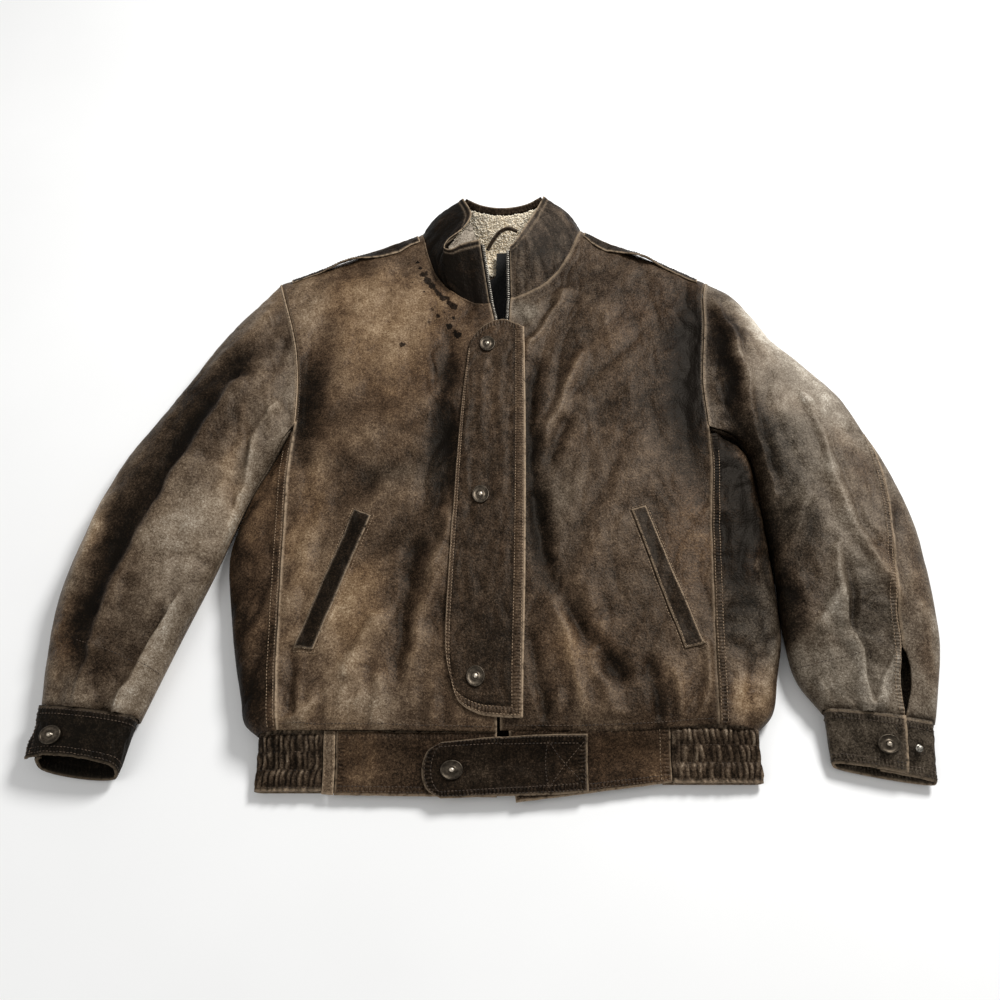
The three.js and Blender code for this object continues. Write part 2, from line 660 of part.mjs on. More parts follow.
// A plain label below the hanger loop: a wide part on the back and a narrow one over the fleece.
function buildLabel() {
  const path = line([[6, 206, 2.8], [6, 262, 2.8], [6, 278, 5.5], [6, 290, 9.5], [7, 312, 15]]);
  const face = (u, v) => {
    const p = path(v);
    const half = lerp(17, 7, smooth(v, 0.62, 0.7));
    return p.add(new THREE.Vector3(lerp(-half, half, u), 0, 0));
  };
  add('neck_label', wall(face, steps(2), [0, 0.3, 0.6, 0.66, 0.72, 0.86, 1], 0.8, () => up), 'cloth');
}

function buildHangerLoop() {
  const route = new THREE.CatmullRomCurve3([
    [-12, 312, 21], [-5, 322, 28], [5, 331, 35], [15, 334, 37], [26, 331, 35],
  ].map(point));
  const [half, thin] = [2.6, 0.8];
  const section = new THREE.Shape();
  section.moveTo(-thin, -half);
  section.lineTo(thin, -half);
  section.lineTo(thin, half);
  section.lineTo(-thin, half);
  section.closePath();
  add('hanger_loop', new THREE.ExtrudeGeometry(section, { steps: 14, extrudePath: route }), 'dark');
}

// ---------------------------------------------------------------- zip

// A tape's path: up the front's edge and on up the collar's end.
function zipPath(side) {
  const body = line(ZIP_EDGE[side]);
  const top = point(COLLAR_TOP[side][0]);
  return (t) => {
    if (t < 0.8) {
      const p = body(t / 0.8);
      return p.setZ(bodyTop(side, p.x, p.y));
    }
    const p = body(1);
    return p.setZ(bodyTop(side, p.x, p.y)).lerp(top, (t - 0.8) / 0.2);
  };
}

const TAPE = { under: 3.5, shows: 6, thick: 1.2 };

function buildZipTape(side) {
  const path = zipPath(side);
  const facing = zipPath(side === 'right' ? 'left' : 'right');
  const towards = -SIGN[side];
  const face = (u, v) => {
    const p = path(v);
    const free = Math.abs(facing(v).x - p.x) / 2 - 0.5;
    const shown = Math.min(TAPE.shows, free);
    p.x += towards * lerp(-TAPE.under, shown, u);
    p.z -= LEATHER + 1.6;
    return p;
  };
  const vs = [0.06, ...steps(6, 0.12, 0.78), 0.81, 0.86, 0.93, 0.99];
  add(`zip_tape_${side}`, wall(face, steps(2), vs, TAPE.thick, () => down), 'cloth');
}

// The slider with its pull tab laid down under the flap.
function buildSlider() {
  const plate = (width, length, radius) => {
    const shape = new THREE.Shape();
    shape.moveTo(-width / 2 + radius, -length / 2);
    shape.lineTo(width / 2 - radius, -length / 2);
    shape.absarc(width / 2 - radius, -length / 2 + radius, radius, -Math.PI / 2, 0);
    shape.lineTo(width / 2, length / 2);
    shape.lineTo(-width / 2, length / 2);
    shape.lineTo(-width / 2, -length / 2 + radius);
    shape.absarc(-width / 2 + radius, -length / 2 + radius, radius, Math.PI, 1.5 * Math.PI);
    return shape;
  };
  const body = new THREE.ExtrudeGeometry(plate(9, 13, 3), { depth: 2.6, bevelEnabled: false, curveSegments: 4 });
  add('zip_slider', body, 'metal', new THREE.Vector3(6.5, 156, 30.2));
}

// ---------------------------------------------------------------- snap caps and stud

// An oval cap: a flat back, a raised rim, a sunk ring and a ball in the middle.
function snapCap(alongX) {
  const profile = [[0, 0], [0.95, 0], [1, 0.4], [0.9, 0.8], [0.76, 0.6], [0.34, 0.55], [0.24, 0.95], [0, 1.1]];
  const cap = new THREE.LatheGeometry(profile.map(([r, h]) => new THREE.Vector2(r, h)), 18);
  cap.rotateX(Math.PI / 2);
  const [x, y] = alongX ? [CAP.long, CAP.wide] : [CAP.wide, CAP.long];
  return cap.scale(x, y, CAP.tall);
}

// Seats a hard piece on a surface: square to it, and just clear of it all round.
function seatOn(name, geometry, finish, height, [x, y], reach) {
  const rise = (dx, dy) => height(x + dx, y + dy);
  const slope = new THREE.Vector3(
    (rise(-reach, 0) - rise(reach, 0)) / (2 * reach),
    (rise(0, -reach) - rise(0, reach)) / (2 * reach),
    1,
  ).normalize();
  const spot = new THREE.Vector3(x, y, height(x, y));
  const proud = steps(12).map((t) => {
    const [dx, dy] = [reach * Math.cos(2 * Math.PI * t), reach * Math.sin(2 * Math.PI * t)];
    return new THREE.Vector3(x + dx, y + dy, rise(dx, dy)).sub(spot).dot(slope);
  });
  const turn = new THREE.Quaternion().setFromUnitVectors(up, slope);
  const place = spot.addScaledVector(slope, GAP + Math.max(0, ...proud));
  add(name, geometry.applyQuaternion(turn), finish, place);
}

// Height of a cuff's outer face; `depth` is how far a lapped end lies below it.
function cuffTop(side, depth = 0) {
  const { top, mouth, tall, slant } = CUFF[side];
  return (x, y) => {
    const v = clamp((top[0][1] - y + slant * 0.5) / (top[0][1] - mouth[0][1] + slant * 0.5), 0, 1);
    const ends = [0, 1].map((i) => lerp(top[i][0], mouth[i][0], v));
    const across = clamp(Math.abs(2 * x - ends[0] - ends[1]) / Math.abs(ends[0] - ends[1]), 0, 0.98);
    const height = lerp(tall[0], tall[1], v);
    return height / 2 + (height / 2 - depth) * Math.sqrt(1 - across * across) ** 0.6;
  };
}

const SNAPS = [
  ['snap_flap_top', [-11, 147], flapTop, false],
  ['snap_flap_middle', [-17, -59], flapTop, false],
  ['snap_flap_bottom', [-20, -265], flapTop, false],
  ['snap_waist', [-42, -351], tabTop, true],
  ['snap_cuff_right', [-424, -322], cuffTop('right'), true],
  ['snap_cuff_left', [376, -328], cuffTop('left'), true],
];

function buildSnaps() {
  for (const [name, spot, height, alongX] of SNAPS) {
    seatOn(name, snapCap(alongX), 'bronze', height, spot, CAP.long);
  }
  const post = [[0, 0], [3.6, 0], [3.6, 0.8], [2, 1.3], [2.6, 2.6], [1.8, 3.8], [0, 4.3]];
  const stud = new THREE.LatheGeometry(post.map(([r, h]) => new THREE.Vector2(r, h)), 14);
  stud.rotateX(Math.PI / 2);
  seatOn('stud_cuff_left', stud, 'metal', cuffTop('left', 3), [406, -331], 4);
}

for (const side of ['right', 'left']) {
  buildFront(side);
  buildSidePanel(side);
  buildSleeve(side);
  buildCuff(side);
  buildWelt(side);
  buildStrap(side);
  buildCollarFront(side);
}
buildBack();
buildWaistband();
buildTab();
buildFlap();
buildCollarBack();
buildCollarFacing();
buildLabel();
buildHangerLoop();
for (const side of ['right', 'left']) buildZipTape(side);
buildSlider();
buildSnaps();

export default jacket;
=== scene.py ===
"""Worn leather blouson jacket, laid flat on its back: its looks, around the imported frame.

Sizes are in millimetres until a piece is finished, when its mesh is made metres.
+X is towards the wearer's left side, +Y towards the collar, +Z up. Names say the wearer's side.
"""
import json
import math

import bmesh
import bpy
import numpy as np
from mathutils import Matrix, Vector

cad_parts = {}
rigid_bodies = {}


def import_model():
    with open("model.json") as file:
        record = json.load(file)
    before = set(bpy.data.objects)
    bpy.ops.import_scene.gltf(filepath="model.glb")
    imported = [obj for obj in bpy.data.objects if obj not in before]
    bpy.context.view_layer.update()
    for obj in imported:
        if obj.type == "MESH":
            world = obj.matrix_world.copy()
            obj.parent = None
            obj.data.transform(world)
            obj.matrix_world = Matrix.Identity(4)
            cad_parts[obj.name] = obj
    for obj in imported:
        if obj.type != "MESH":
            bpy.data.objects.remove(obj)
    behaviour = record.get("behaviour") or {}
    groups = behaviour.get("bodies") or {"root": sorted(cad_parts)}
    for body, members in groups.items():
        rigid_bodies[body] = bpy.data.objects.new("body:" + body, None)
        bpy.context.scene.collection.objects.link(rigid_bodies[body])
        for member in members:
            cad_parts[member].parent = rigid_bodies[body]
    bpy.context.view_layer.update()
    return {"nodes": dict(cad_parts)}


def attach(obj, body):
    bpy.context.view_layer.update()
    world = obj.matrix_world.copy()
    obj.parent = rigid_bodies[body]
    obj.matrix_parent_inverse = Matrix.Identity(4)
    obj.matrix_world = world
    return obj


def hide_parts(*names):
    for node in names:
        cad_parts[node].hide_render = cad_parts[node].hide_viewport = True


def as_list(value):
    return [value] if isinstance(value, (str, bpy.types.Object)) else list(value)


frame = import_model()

MM = 0.001

# ---------------------------------------------------------------- driving sizes

GAP = 0.3                # between pieces that meet
SEAM = 0.3               # half of the room kept between panels at a seam
LIFT = 0.8               # between a panel and what lies on it
LEATHER = 2.0            # body leather
BAND = 2.8               # folded leather of cuffs, waistband, flap and tab
TRIM = 1.4               # welts, straps, facings
BODY_TOP = 33.0          # front of the body above the surface
EDGE_TOP = 12.0          # height of the body's and sleeves' outermost line
HEM_TOP = 20.0           # front at the waistband seam
SLEEVE_TOP = 44.0        # crown of a sleeve
SHOULDER_ROLL = 40.0
HEM_ROLL = 26.0
BACK_ROLL = 9.0
FLOOR_STRIP = 24.0
HEM_Y = {"right": -319.0, "left": -313.0}
SIGN = {"right": -1, "left": 1}
SIDES = ("right", "left")

NECK_POINT = {"right": (-97, 342), "left": (110, 348)}
SHOULDER_TIP = {"right": (-270, 257), "left": (262, 259)}
NECK_FRONT = {"right": (-8, 212), "left": (17, 220)}
PIT = {"right": (-229, 40), "left": (240, 34)}

NECK_SEAM = {
    "right": [NECK_FRONT["right"], (-20, 211), (-48, 226), (-71, 252), (-84, 284), NECK_POINT["right"]],
    "left": [NECK_FRONT["left"], (38, 228), (62, 246), (90, 290), NECK_POINT["left"]],
}
SIDE_SEAM = {
    "right": [(-210, -317), (-213, -291), (-217, -254), (-221, -192), (-227, -86), (-230, -14), PIT["right"]],
    "left": [(215, -311), (217, -271), (221, -208), (230, -91), (238, -20), PIT["left"]],
}
ARMHOLE = {
    "right": [PIT["right"], (-233, 115), (-240, 155), SHOULDER_TIP["right"]],
    "left": [PIT["left"], (240, 95), (250, 185), (253, 228), SHOULDER_TIP["left"]],
}
BODY_EDGE = {
    "right": [(-231, -318), (-246, -305), (-252, -282), (-262, -246), (-273, -196), (-284, -128),
              (-281, -97), (-266, -47), (-246, 1), (-232, 38)],
    "left": [(256, -313), (272, -296), (282, -258), (292, -214), (293, -150), (291, -75),
             (288, -13), (275, 14), (243, 30)],
}
SLEEVE_OUTER = {
    "right": [SHOULDER_TIP["right"], (-294, 221), (-325, 174), (-355, 113), (-386, 54), (-416, -5),
              (-432, -52), (-450, -137), (-455, -184), (-452, -244), (-447, -292)],
    "left": [SHOULDER_TIP["left"], (288, 240), (311, 203), (331, 165), (365, 126), (401, 79), (418, 37),
             (437, -13), (453, -89), (453.5, -196), (450, -231), (429, -307)],
}
SLEEVE_INNER = {
    "right": [PIT["right"], (-249, 1), (-269, -47), (-284, -95), (-298, -145), (-320, -213), (-348, -303)],
    "left": [PIT["left"], (275, 18), (287, -13), (290, -75), (294, -150), (294, -218), (300, -260),
             (321, -293)],
}
ZIP_EDGE = {
    "right": [(1, -318), (1, 120), (-1, 150), (-3, 185), NECK_FRONT["right"]],
    "left": [(4, -316), (5, 100), (13, 142), (15, 185), NECK_FRONT["left"]],
}
BACK_NECK = [NECK_POINT["right"], (-62, 336), (6, 320), (74, 338), NECK_POINT["left"]]

# Folds: the run of the crest, its height, and its spread to the left and right of the run.
# A trough has a negative height.
BODY_FOLDS = {
    "right": [
        ([(-122, -205), (-159, -277), (-198, -312)], 4.2, 13, 7),
        ([(-152, -270), (-180, -306)], -3.2, 7, 6),
        ([(-84, -120), (-94, -191), (-92, -262)], -4.0, 9, 8),
        ([(-60, -130), (-70, -175), (-88, -262)], 3.6, 8, 8),
        ([(-49, -90), (-66, -145)], 3.4, 7, 7),
        ([(-205, -235), (-197, -300)], -3.0, 5, 6),
        ([(-116, -265), (-112, -316)], 3.0, 7, 8),
        ([(-135, -285), (-140, -318)], 2.4, 6, 6),
        ([(-60, 70), (-110, 42), (-160, 10)], 2.4, 14, 20),
        ([(-55, 20), (-120, -25), (-190, -70)], -2.4, 18, 14),
        ([(-205, 190), (-222, 90), (-218, -10)], -2.6, 16, 14),
        ([(-140, 262), (-170, 190), (-182, 90)], 2.0, 20, 16),
        ([(-50, 160), (-62, 60), (-58, -60)], -2.4, 12, 14),
        ([(-185, -60), (-212, -190)], 2.2, 9, 9),
        ([(-150, -90), (-118, -40)], 1.8, 9, 9),
    ],
    "left": [
        ([(82, 228), (53, 179), (33, 140)], 4.2, 8, 6),
        ([(66, 212), (40, 160)], -3.4, 5, 6),
        ([(96, 128), (70, 58), (54, 18)], 4.2, 9, 6),
        ([(78, 40), (60, -10)], -2.6, 8, 8),
        ([(42, -60), (54, -152), (72, -190), (118, -258)], -5.2, 10, 10),
        ([(56, -150), (72, -225), (88, -310)], 3.6, 9, 10),
        ([(34, -225), (50, -310)], -3.0, 7, 7),
        ([(150, -250), (162, -310)], -3.4, 8, 7),
        ([(208, -232), (208, -280), (193, -312)], 3.4, 6, 5),
        ([(98, -240), (120, -312)], 2.6, 8, 8),
        ([(178, -262), (182, -312)], 2.6, 6, 6),
        ([(130, 200), (150, 90), (140, -40)], 1.8, 26, 22),
        ([(232, 170), (215, 60), (222, -60)], -2.2, 12, 14),
        ([(130, -90), (92, -150), (100, -230)], 2.4, 14, 12),
        ([(48, 120), (36, 40), (40, -40)], -2.8, 8, 10),
    ],
}
SLEEVE_FOLDS = {
    "right": [
        ([(-249, 58), (-267, 28), (-270, -18), (-277, -69), (-290, -118)], 4.0, 5, 4),
        ([(-262, 40), (-280, -20), (-285, -70)], -2.6, 6, 6),
        ([(-300, 85), (-330, 10), (-358, -65), (-384, -150), (-400, -235)], 4.4, 16, 7),
        ([(-330, 60), (-366, -35), (-392, -120), (-414, -205)], -3.8, 13, 17),
        ([(-330, -190), (-345, -231), (-356, -260), (-369, -300)], 5.0, 12, 2.4),
        ([(-339, -195), (-354, -233), (-366, -262), (-380, -298)], -3.4, 3, 9),
        ([(-404, -236), (-405, -262), (-408, -300)], 3.6, 9, 2.4),
        ([(-262, 215), (-300, 150), (-330, 120)], 2.4, 12, 12),
        ([(-246, 150), (-262, 110), (-300, 95)], -2.2, 7, 8),
        ([(-420, -60), (-436, -130), (-440, -210)], 2.4, 8, 8),
        ([(-320, -60), (-345, -130), (-340, -190)], 2.0, 12, 12),
        ([(-300, -140), (-322, -130), (-350, -138)], -1.6, 6, 6),
    ],
    "left": [
        ([(350, 62), (362, 17), (369, -60), (388, -127), (407, -180)], 4.2, 10, 5),
        ([(360, 50), (372, 0), (380, -62), (398, -122)], -2.6, 4, 9),
        ([(335, -62), (318, -100), (298, -142)], 3.2, 7, 8),
        ([(354, -128), (350, -172), (326, -212)], 4.6, 9, 4),
        ([(358, -126), (364, -168), (356, -216)], -3.4, 4, 8),
        ([(352, -184), (358, -228), (363, -271), (366, -304)], 5.0, 1.8, 11),
        ([(394, -244), (379, -270), (367, -291)], 3.6, 9, 2.2),
        ([(270, 205), (286, 120), (287, 40), (300, -60)], 5.0, 6, 13),
        ([(300, 215), (345, 140), (385, 70)], 2.0, 12, 12),
        ([(374, 66), (366, 46), (358, 60)], 2.0, 5, 5),
        ([(310, -160), (322, -210), (340, -270)], 2.2, 9, 9),
        ([(400, 30), (420, -40), (426, -100)], -2.0, 10, 8),
    ],
}
FLAP_FOLDS = [
    ([(-14, 120), (-20, 60), (-12, 0)], 1.3, 4, 4),
    ([(6, 130), (2, 70), (10, 0), (4, -60)], 1.4, 4, 5),
    ([(-30, 90), (-34, 20), (-30, -50)], 1.2, 4, 4),
    ([(-2, 110), (-8, 40)], -1.2, 3, 3),
    ([(14, 60), (14, -20)], -1.1, 3, 4),
    ([(-24, 0), (-28, -90)], -1.0, 4, 4),
    ([(12, -90), (8, -160)], 0.9, 5, 5),
    ([(-10, -110), (-16, -190)], -0.8, 5, 5),
]

# Soft patches of colour: place, half sizes, change of shade (light or dark), change of warmth (tan or grey).
# Most patches are the leather's own uneven tone; the dark ones beside the storm flap, under the collar, along
# the armholes, along the sleeves' inner edges and on the side panels under the sleeves are painted shade and
# painted shadow.
BODY_PATCHES = {
    "right": [
        (-118, 176, 62, 62, 0.26, 0.55), (-70, 225, 34, 28, 0.16, 0.3), (-170, 228, 42, 30, 0.12, 0.3),
        (-116, 118, 34, 30, 0.06, 0.5), (-232, 190, 28, 66, 0.26, -0.1), (-52, 60, 22, 90, -0.16, 0.0),
        (-214, 60, 18, 60, -0.12, -0.1), (-97, -108, 34, 30, -0.14, -0.1), (-205, -110, 18, 80, 0.12, 0.3),
        (-146, -185, 26, 46, 0.14, 0.45), (-105, -25, 52, 20, 0.07, -0.4), (-190, -262, 16, 26, -0.1, 0.0),
        (-176, -190, 34, 110, 0.14, -0.1), (-205, -10, 26, 60, 0.12, 0.0),
        (-108, -292, 34, 24, 0.1, -0.2), (-62, -20, 14, 120, -0.08, -0.2), (-30, 205, 18, 18, -0.24, 0.0),
        (-70, 265, 10, 40, -0.1, 0.0), (-166, -222, 18, 50, 0.13, 0.1), (-140, -290, 30, 30, 0.1, 0.0),
    ],
    "left": [
        (34, 205, 26, 24, 0.24, -0.9), (190, 215, 26, 44, 0.06, 0.2), (212, 140, 36, 100, -0.15, 0.15),
        (150, 240, 90, 24, -0.12, 0.0), (150, 180, 30, 50, -0.04, 0.2),
        (206, -110, 20, 60, 0.1, 0.6), (60, -60, 30, 50, 0.05, -0.4), (80, -235, 44, 50, 0.08, 0.3),
        (150, 50, 52, 100, -0.14, 0.1), (88, 152, 16, 60, -0.12, 0.1), (40, -10, 18, 70, -0.12, 0.0),
        (120, -290, 90, 16, -0.06, 0.0), (180, -270, 24, 30, 0.08, 0.2), (232, 120, 12, 90, -0.06, 0.2),
    ],
}
SIDE_PATCHES = {
    "right": [(-248, -70, 24, 60, 0.14, 0.2), (-262, -180, 26, 60, 0.05, 0.0),
              (-255, -285, 32, 46, -0.22, -0.1), (-285, -230, 14, 90, -0.16, -0.2)],
    "left": [(262, -190, 24, 46, -0.22, -0.9), (250, -288, 28, 28, 0.3, 0.5), (256, -60, 20, 60, 0.04, 0.3),
             (285, -120, 12, 60, -0.1, -0.2), (278, -205, 8, 36, 0.06, -0.5)],
}
SLEEVE_PATCHES = {
    "right": [
        (-282, 200, 26, 60, 0.24, 0.15), (-262, 235, 22, 20, 0.12, 0.35), (-352, 78, 34, 52, -0.12, 0.1),
        (-330, 20, 18, 50, -0.06, 0.0), (-408, -150, 18, 62, -0.12, 0.1), (-430, -80, 14, 50, 0.3, 0.6),
        (-338, -118, 34, 46, 0.2, 0.0), (-300, -60, 24, 60, 0.12, 0.2), (-392, -258, 26, 34, -0.06, 0.1),
        (-330, -268, 18, 32, 0.22, 0.0), (-286, -20, 10, 80, 0.1, 0.35), (-434, -230, 14, 46, 0.05, 0.6),
        (-372, -286, 10, 20, 0.14, 0.0), (-262, 90, 16, 50, 0.12, 0.1), (-305, 118, 16, 26, -0.12, 0.0),
    ],
    "left": [
        (272, 150, 12, 90, -0.3, 0.2), (310, 170, 22, 60, 0.22, 0.2), (322, -8, 26, 34, -0.12, -0.5),
        (396, -20, 22, 44, -0.12, 0.5), (345, 60, 24, 30, 0.08, 0.1), (406, -150, 16, 50, -0.18, 0.5),
        (330, -160, 22, 50, -0.12, 0.3), (342, -190, 10, 30, 0.04, -0.5), (376, -180, 16, 34, -0.14, -0.3),
        (310, -240, 22, 40, 0.02, -0.2), (440, -160, 12, 70, 0.1, 0.2), (432, -240, 12, 30, -0.2, 0.3),
        (290, -120, 10, 70, -0.2, -0.2), (374, -215, 16, 36, -0.2, -0.2), (332, -93, 16, 30, -0.15, -0.1),
        (352, -55, 20, 16, -0.1, 0.0), (356, -270, 22, 30, 0.0, -0.2),
    ],
}

# Long bands of colour: the run, change of shade, change of warmth, spread to the left and right of it.
BANDS = {
    "front_right": [
        # Painted shade in the valley along the armhole.
        ([(-233, 40), (-236, 120), (-244, 200)], -0.1, 0.0, 16, 16),
        # Painted shadow beside the storm flap's edge.
        ([(-62, 120), (-56, 0), (-66, -120), (-58, -200)], -0.1, 0.1, 18, 16),
        ([(-214, 120), (-196, 20), (-150, -30)], -0.12, 0.1, 20, 20),
        ([(-150, 60), (-90, 40), (-50, 60)], -0.06, 0.1, 24, 16),
    ],
    "front_left": [
        # The next two bands are painted shade in the valley along the armhole.
        ([(246, 180), (236, 90), (232, 20)], -0.2, 0.3, 14, 22),
        ([(262, 240), (246, 190), (234, 120), (214, 60)], -0.16, 0.3, 16, 26),
        # Painted shadow beside the storm flap's edge.
        ([(40, 120), (36, 20), (40, -80), (46, -200)], -0.12, 0.1, 14, 14),
        ([(90, -120), (120, -220), (150, -300)], -0.06, 0.1, 20, 20),
    ],
    "sleeve_right": [
        # Painted shade down the sleeve's outer side.
        ([(-262, 206), (-290, 140), (-310, 75), (-336, 15), (-362, -45), (-380, -100), (-394, -160),
          (-402, -230)],
         -0.3, 0.2, 40, 34),
        ([(-344, 92), (-378, 20), (-400, -60), (-412, -150), (-418, -230)], -0.1, 0.1, 14, 14),
        ([(-250, 90), (-256, 40), (-266, 0)], -0.08, 0.1, 10, 14),
    ],
    "sleeve_left": [
        # Painted shade in the valley along the sleeve's inner side.
        ([(262, 190), (262, 120), (276, 60), (288, -20), (294, -120), (298, -210)], -0.4, 0.3, 24, 26),
        ([(300, 205), (340, 140), (376, 70), (404, 10)], 0.2, -0.1, 26, 20),
        ([(444, -205), (436, -290)], 0.12, 0.0, 12, 14),
        ([(430, -70), (446, -140), (448, -190)], -0.16, 0.2, 12, 14),
        ([(300, 20), (320, -60), (336, -130)], -0.12, -0.1, 20, 22),
    ],
    "side_right": [
        # Painted shadow beside the sleeve's inner edge.
        ([(-262, -20), (-276, -120), (-266, -220), (-250, -300)], -0.1, 0.0, 12, 22),
    ],
    "side_left": [
        # Painted shadow in the recess under the sleeve.
        ([(250, 30), (262, -20), (268, -110)], -0.5, 0.7, 16, 40),
        ([(268, -170), (270, -230), (262, -300)], 0.08, -0.1, 20, 22),
    ],
}

# ---------------------------------------------------------------- lines and surfaces


def line(points):
    """A smooth line through points, read at an even pace from 0 to 1."""
    p = np.array([tuple(q) + (0,) * (3 - len(q)) for q in points], float)
    p = np.vstack([2 * p[0] - p[1], p, 2 * p[-1] - p[-2]])
    t = np.linspace(0, 1, 25)[:, None]
    parts = []
    for a, b, c, d in zip(p, p[1:], p[2:], p[3:]):
        ab, bc, cd = (math.sqrt(np.linalg.norm(s - r)) for r, s in ((a, b), (b, c), (c, d)))
        leave = bc * ((b - a) / ab - (c - a) / (ab + bc) + (c - b) / bc)
        reach = bc * ((c - b) / bc - (d - b) / (bc + cd) + (d - c) / cd)
        square = 3 * (c - b) - 2 * leave - reach
        cube = 2 * (b - c) + leave + reach
        parts.append(b + leave * t + square * t**2 + cube * t**3)
    run = np.vstack(parts)
    walked = np.append(0, np.cumsum(np.linalg.norm(np.diff(run, axis=0), axis=1)))
    walked /= walked[-1]

    def at(t):
        t = np.clip(t, 0, 1)
        return np.stack([np.interp(t, walked, run[:, k]) for k in range(3)], -1)
    return at


def chain(*lines):
    """Lines end to end with a corner between them; each takes an equal share of 0 to 1."""
    def at(t):
        place = np.clip(t, 0, 1) * len(lines)
        index = np.minimum(np.floor(place), len(lines) - 1)
        parts = [part(place - k) for k, part in enumerate(lines)]
        return sum(np.where((index == k)[..., None], part, 0) for k, part in enumerate(parts))
    return at


def patch(south, north, west, east):
    """The surface that fills four border lines: south and north run along u, west and east along v."""
    ends = np.array([0.0, 1.0])
    (s0, s1), (n0, n1) = south(ends), north(ends)

    def at(u, v):
        a, b = u[..., None], v[..., None]
        sides = south(u) * (1 - b) + north(u) * b + west(v) * (1 - a) + east(v) * a
        return sides - s0 * (1 - a) * (1 - b) - s1 * a * (1 - b) - n0 * (1 - a) * b - n1 * a * b
    return at


def mix(a, b, t):
    return a + (b - a) * t


def smooth(x, low, high):
    t = np.clip((x - low) / (high - low), 0, 1)
    return t * t * (3 - 2 * t)


def roll(distance, width):
    """A rounded rise from 0 at an edge to 1 a roll away."""
    t = np.clip(1 - distance / width, 0, 1)
    return np.sqrt(1 - t * t)


def hump(distance, width):
    return np.exp(-((distance / width) ** 2))


def distance_to(x, y, a, b):
    """Distance in plan from points to the straight line between two others."""
    dx, dy = b[0] - a[0], b[1] - a[1]
    t = np.clip(((x - a[0]) * dx + (y - a[1]) * dy) / (dx * dx + dy * dy), 0, 1)
    return np.hypot(x - a[0] - dx * t, y - a[1] - dy * t)


def side_of_line(x, y, run):
    """Distance in plan from points to a line of points, negative on its left."""
    best = np.full(np.shape(x), 1e9)
    signed = np.zeros(np.shape(x))
    for a, b in zip(run, run[1:]):
        d = distance_to(x, y, a, b)
        turn = (b[0] - a[0]) * (y - a[1]) - (b[1] - a[1]) * (x - a[0])
        nearer = d < best
        best = np.where(nearer, d, best)
        signed = np.where(nearer, np.where(turn > 0, -d, d), signed)
    return signed


def near_line(points, run):
    """Distance in space from points to a line of points."""
    best = np.full(len(points), 1e9)
    for a, b in zip(run, run[1:]):
        way = b - a
        t = np.clip((points - a) @ way / max(way @ way, 1e-9), 0, 1)
        best = np.minimum(best, np.linalg.norm(points - a - t[:, None] * way, axis=1))
    return best


def walk(path, count=80):
    return path(np.linspace(0, 1, count))


# ---------------------------------------------------------------- relief


def noise(x, y, seed=0):
    """Soft random height from about -1 to 1, with bumps about one unit wide."""
    cx, cy = np.floor(x).astype(np.int64), np.floor(y).astype(np.int64)
    fx, fy = x - cx, y - cy
    ease_x, ease_y = (f**3 * (f * (f * 6 - 15) + 10) for f in (fx, fy))

    def corner(dx, dy):
        h = ((cx + dx) * 73856093) ^ ((cy + dy) * 19349663) ^ (seed * 83492791)
        h = (h ^ (h >> 13)) * 1274126177 & 0xFFFFFF
        angle = (h ^ (h >> 9)) % 4096 / 4096 * 2 * math.pi
        return np.cos(angle) * (fx - dx) + np.sin(angle) * (fy - dy)
    low = mix(corner(0, 0), corner(1, 0), ease_x)
    high = mix(corner(0, 1), corner(1, 1), ease_x)
    return 1.5 * mix(low, high, ease_y)


def crumple(x, y, size, angle, stretch, seed):
    """Soft puffs between sharper creases, from 0 in a crease to about 1; they run along `angle`."""
    c, s = math.cos(math.radians(angle)), math.sin(math.radians(angle))
    along = (x * c + y * s) / (size * stretch)
    across = (y * c - x * s) / size
    bent = across + 0.5 * noise(along * 0.8, across * 0.8, seed + 1)
    puff = np.abs(noise(along + 0.3 * noise(along, across, seed + 2), bent, seed))
    return np.clip(1.7 * puff, 0, 1) ** 0.75


def folded(folds, x, y):
    """Height of the listed folds, a little wavy."""
    wx = x + 4.0 * noise(x / 37, y / 37, 3) + 0.5 * noise(x / 13, y / 13, 5)
    wy = y + 4.0 * noise(x / 37, y / 37, 4) + 0.5 * noise(x / 13, y / 13, 6)
    total = 0
    for points, height, left, right in folds:
        run = walk(line(points), 14)
        d = side_of_line(wx, wy, run)
        total = total + 1.45 * height * np.where(d < 0, hump(d, left), hump(d, right))
    return total


def patched(patches, x, y, shade, warm, bands=()):
    """Shade and warmth with soft-edged patches and bands laid over them."""
    wx = x + 13 * noise(x / 47, y / 47, 21) + 5 * noise(x / 15, y / 15, 22)
    wy = y + 13 * noise(x / 47, y / 47, 23) + 5 * noise(x / 15, y / 15, 24)
    for px, py, rx, ry, lighter, warmer in patches:
        g = np.exp(-(((wx - px) / rx) ** 2) - ((wy - py) / ry) ** 2)
        shade = shade + lighter * g
        warm = warm + warmer * g
    for points, lighter, warmer, left, right in bands:
        d = side_of_line(wx, wy, walk(line(points), 16))
        g = np.where(d < 0, hump(d, left), hump(d, right))
        shade = shade + lighter * g
        warm = warm + warmer * g
    return shade, np.clip(warm, 0, 1)


def body_relief(side, x, y):
    above_hem = y - HEM_Y[side]
    folds = folded(BODY_FOLDS[side], x, y)
    soft = 2.6 * (crumple(x, y, 58, 68, 2.0, 11) - 0.5) + 1.2 * (crumple(x, y, 21, 75, 1.7, 14) - 0.5)
    gathers = 3.4 * noise(x / 11, y / 70, 17) * (1 - smooth(above_hem, 8, 70))
    covered = smooth(x, -54, -38) * (1 - smooth(x, 26, 42)) * (1 - smooth(y, 160, 200))
    return (folds + soft + gathers) * (1 - 0.75 * covered)


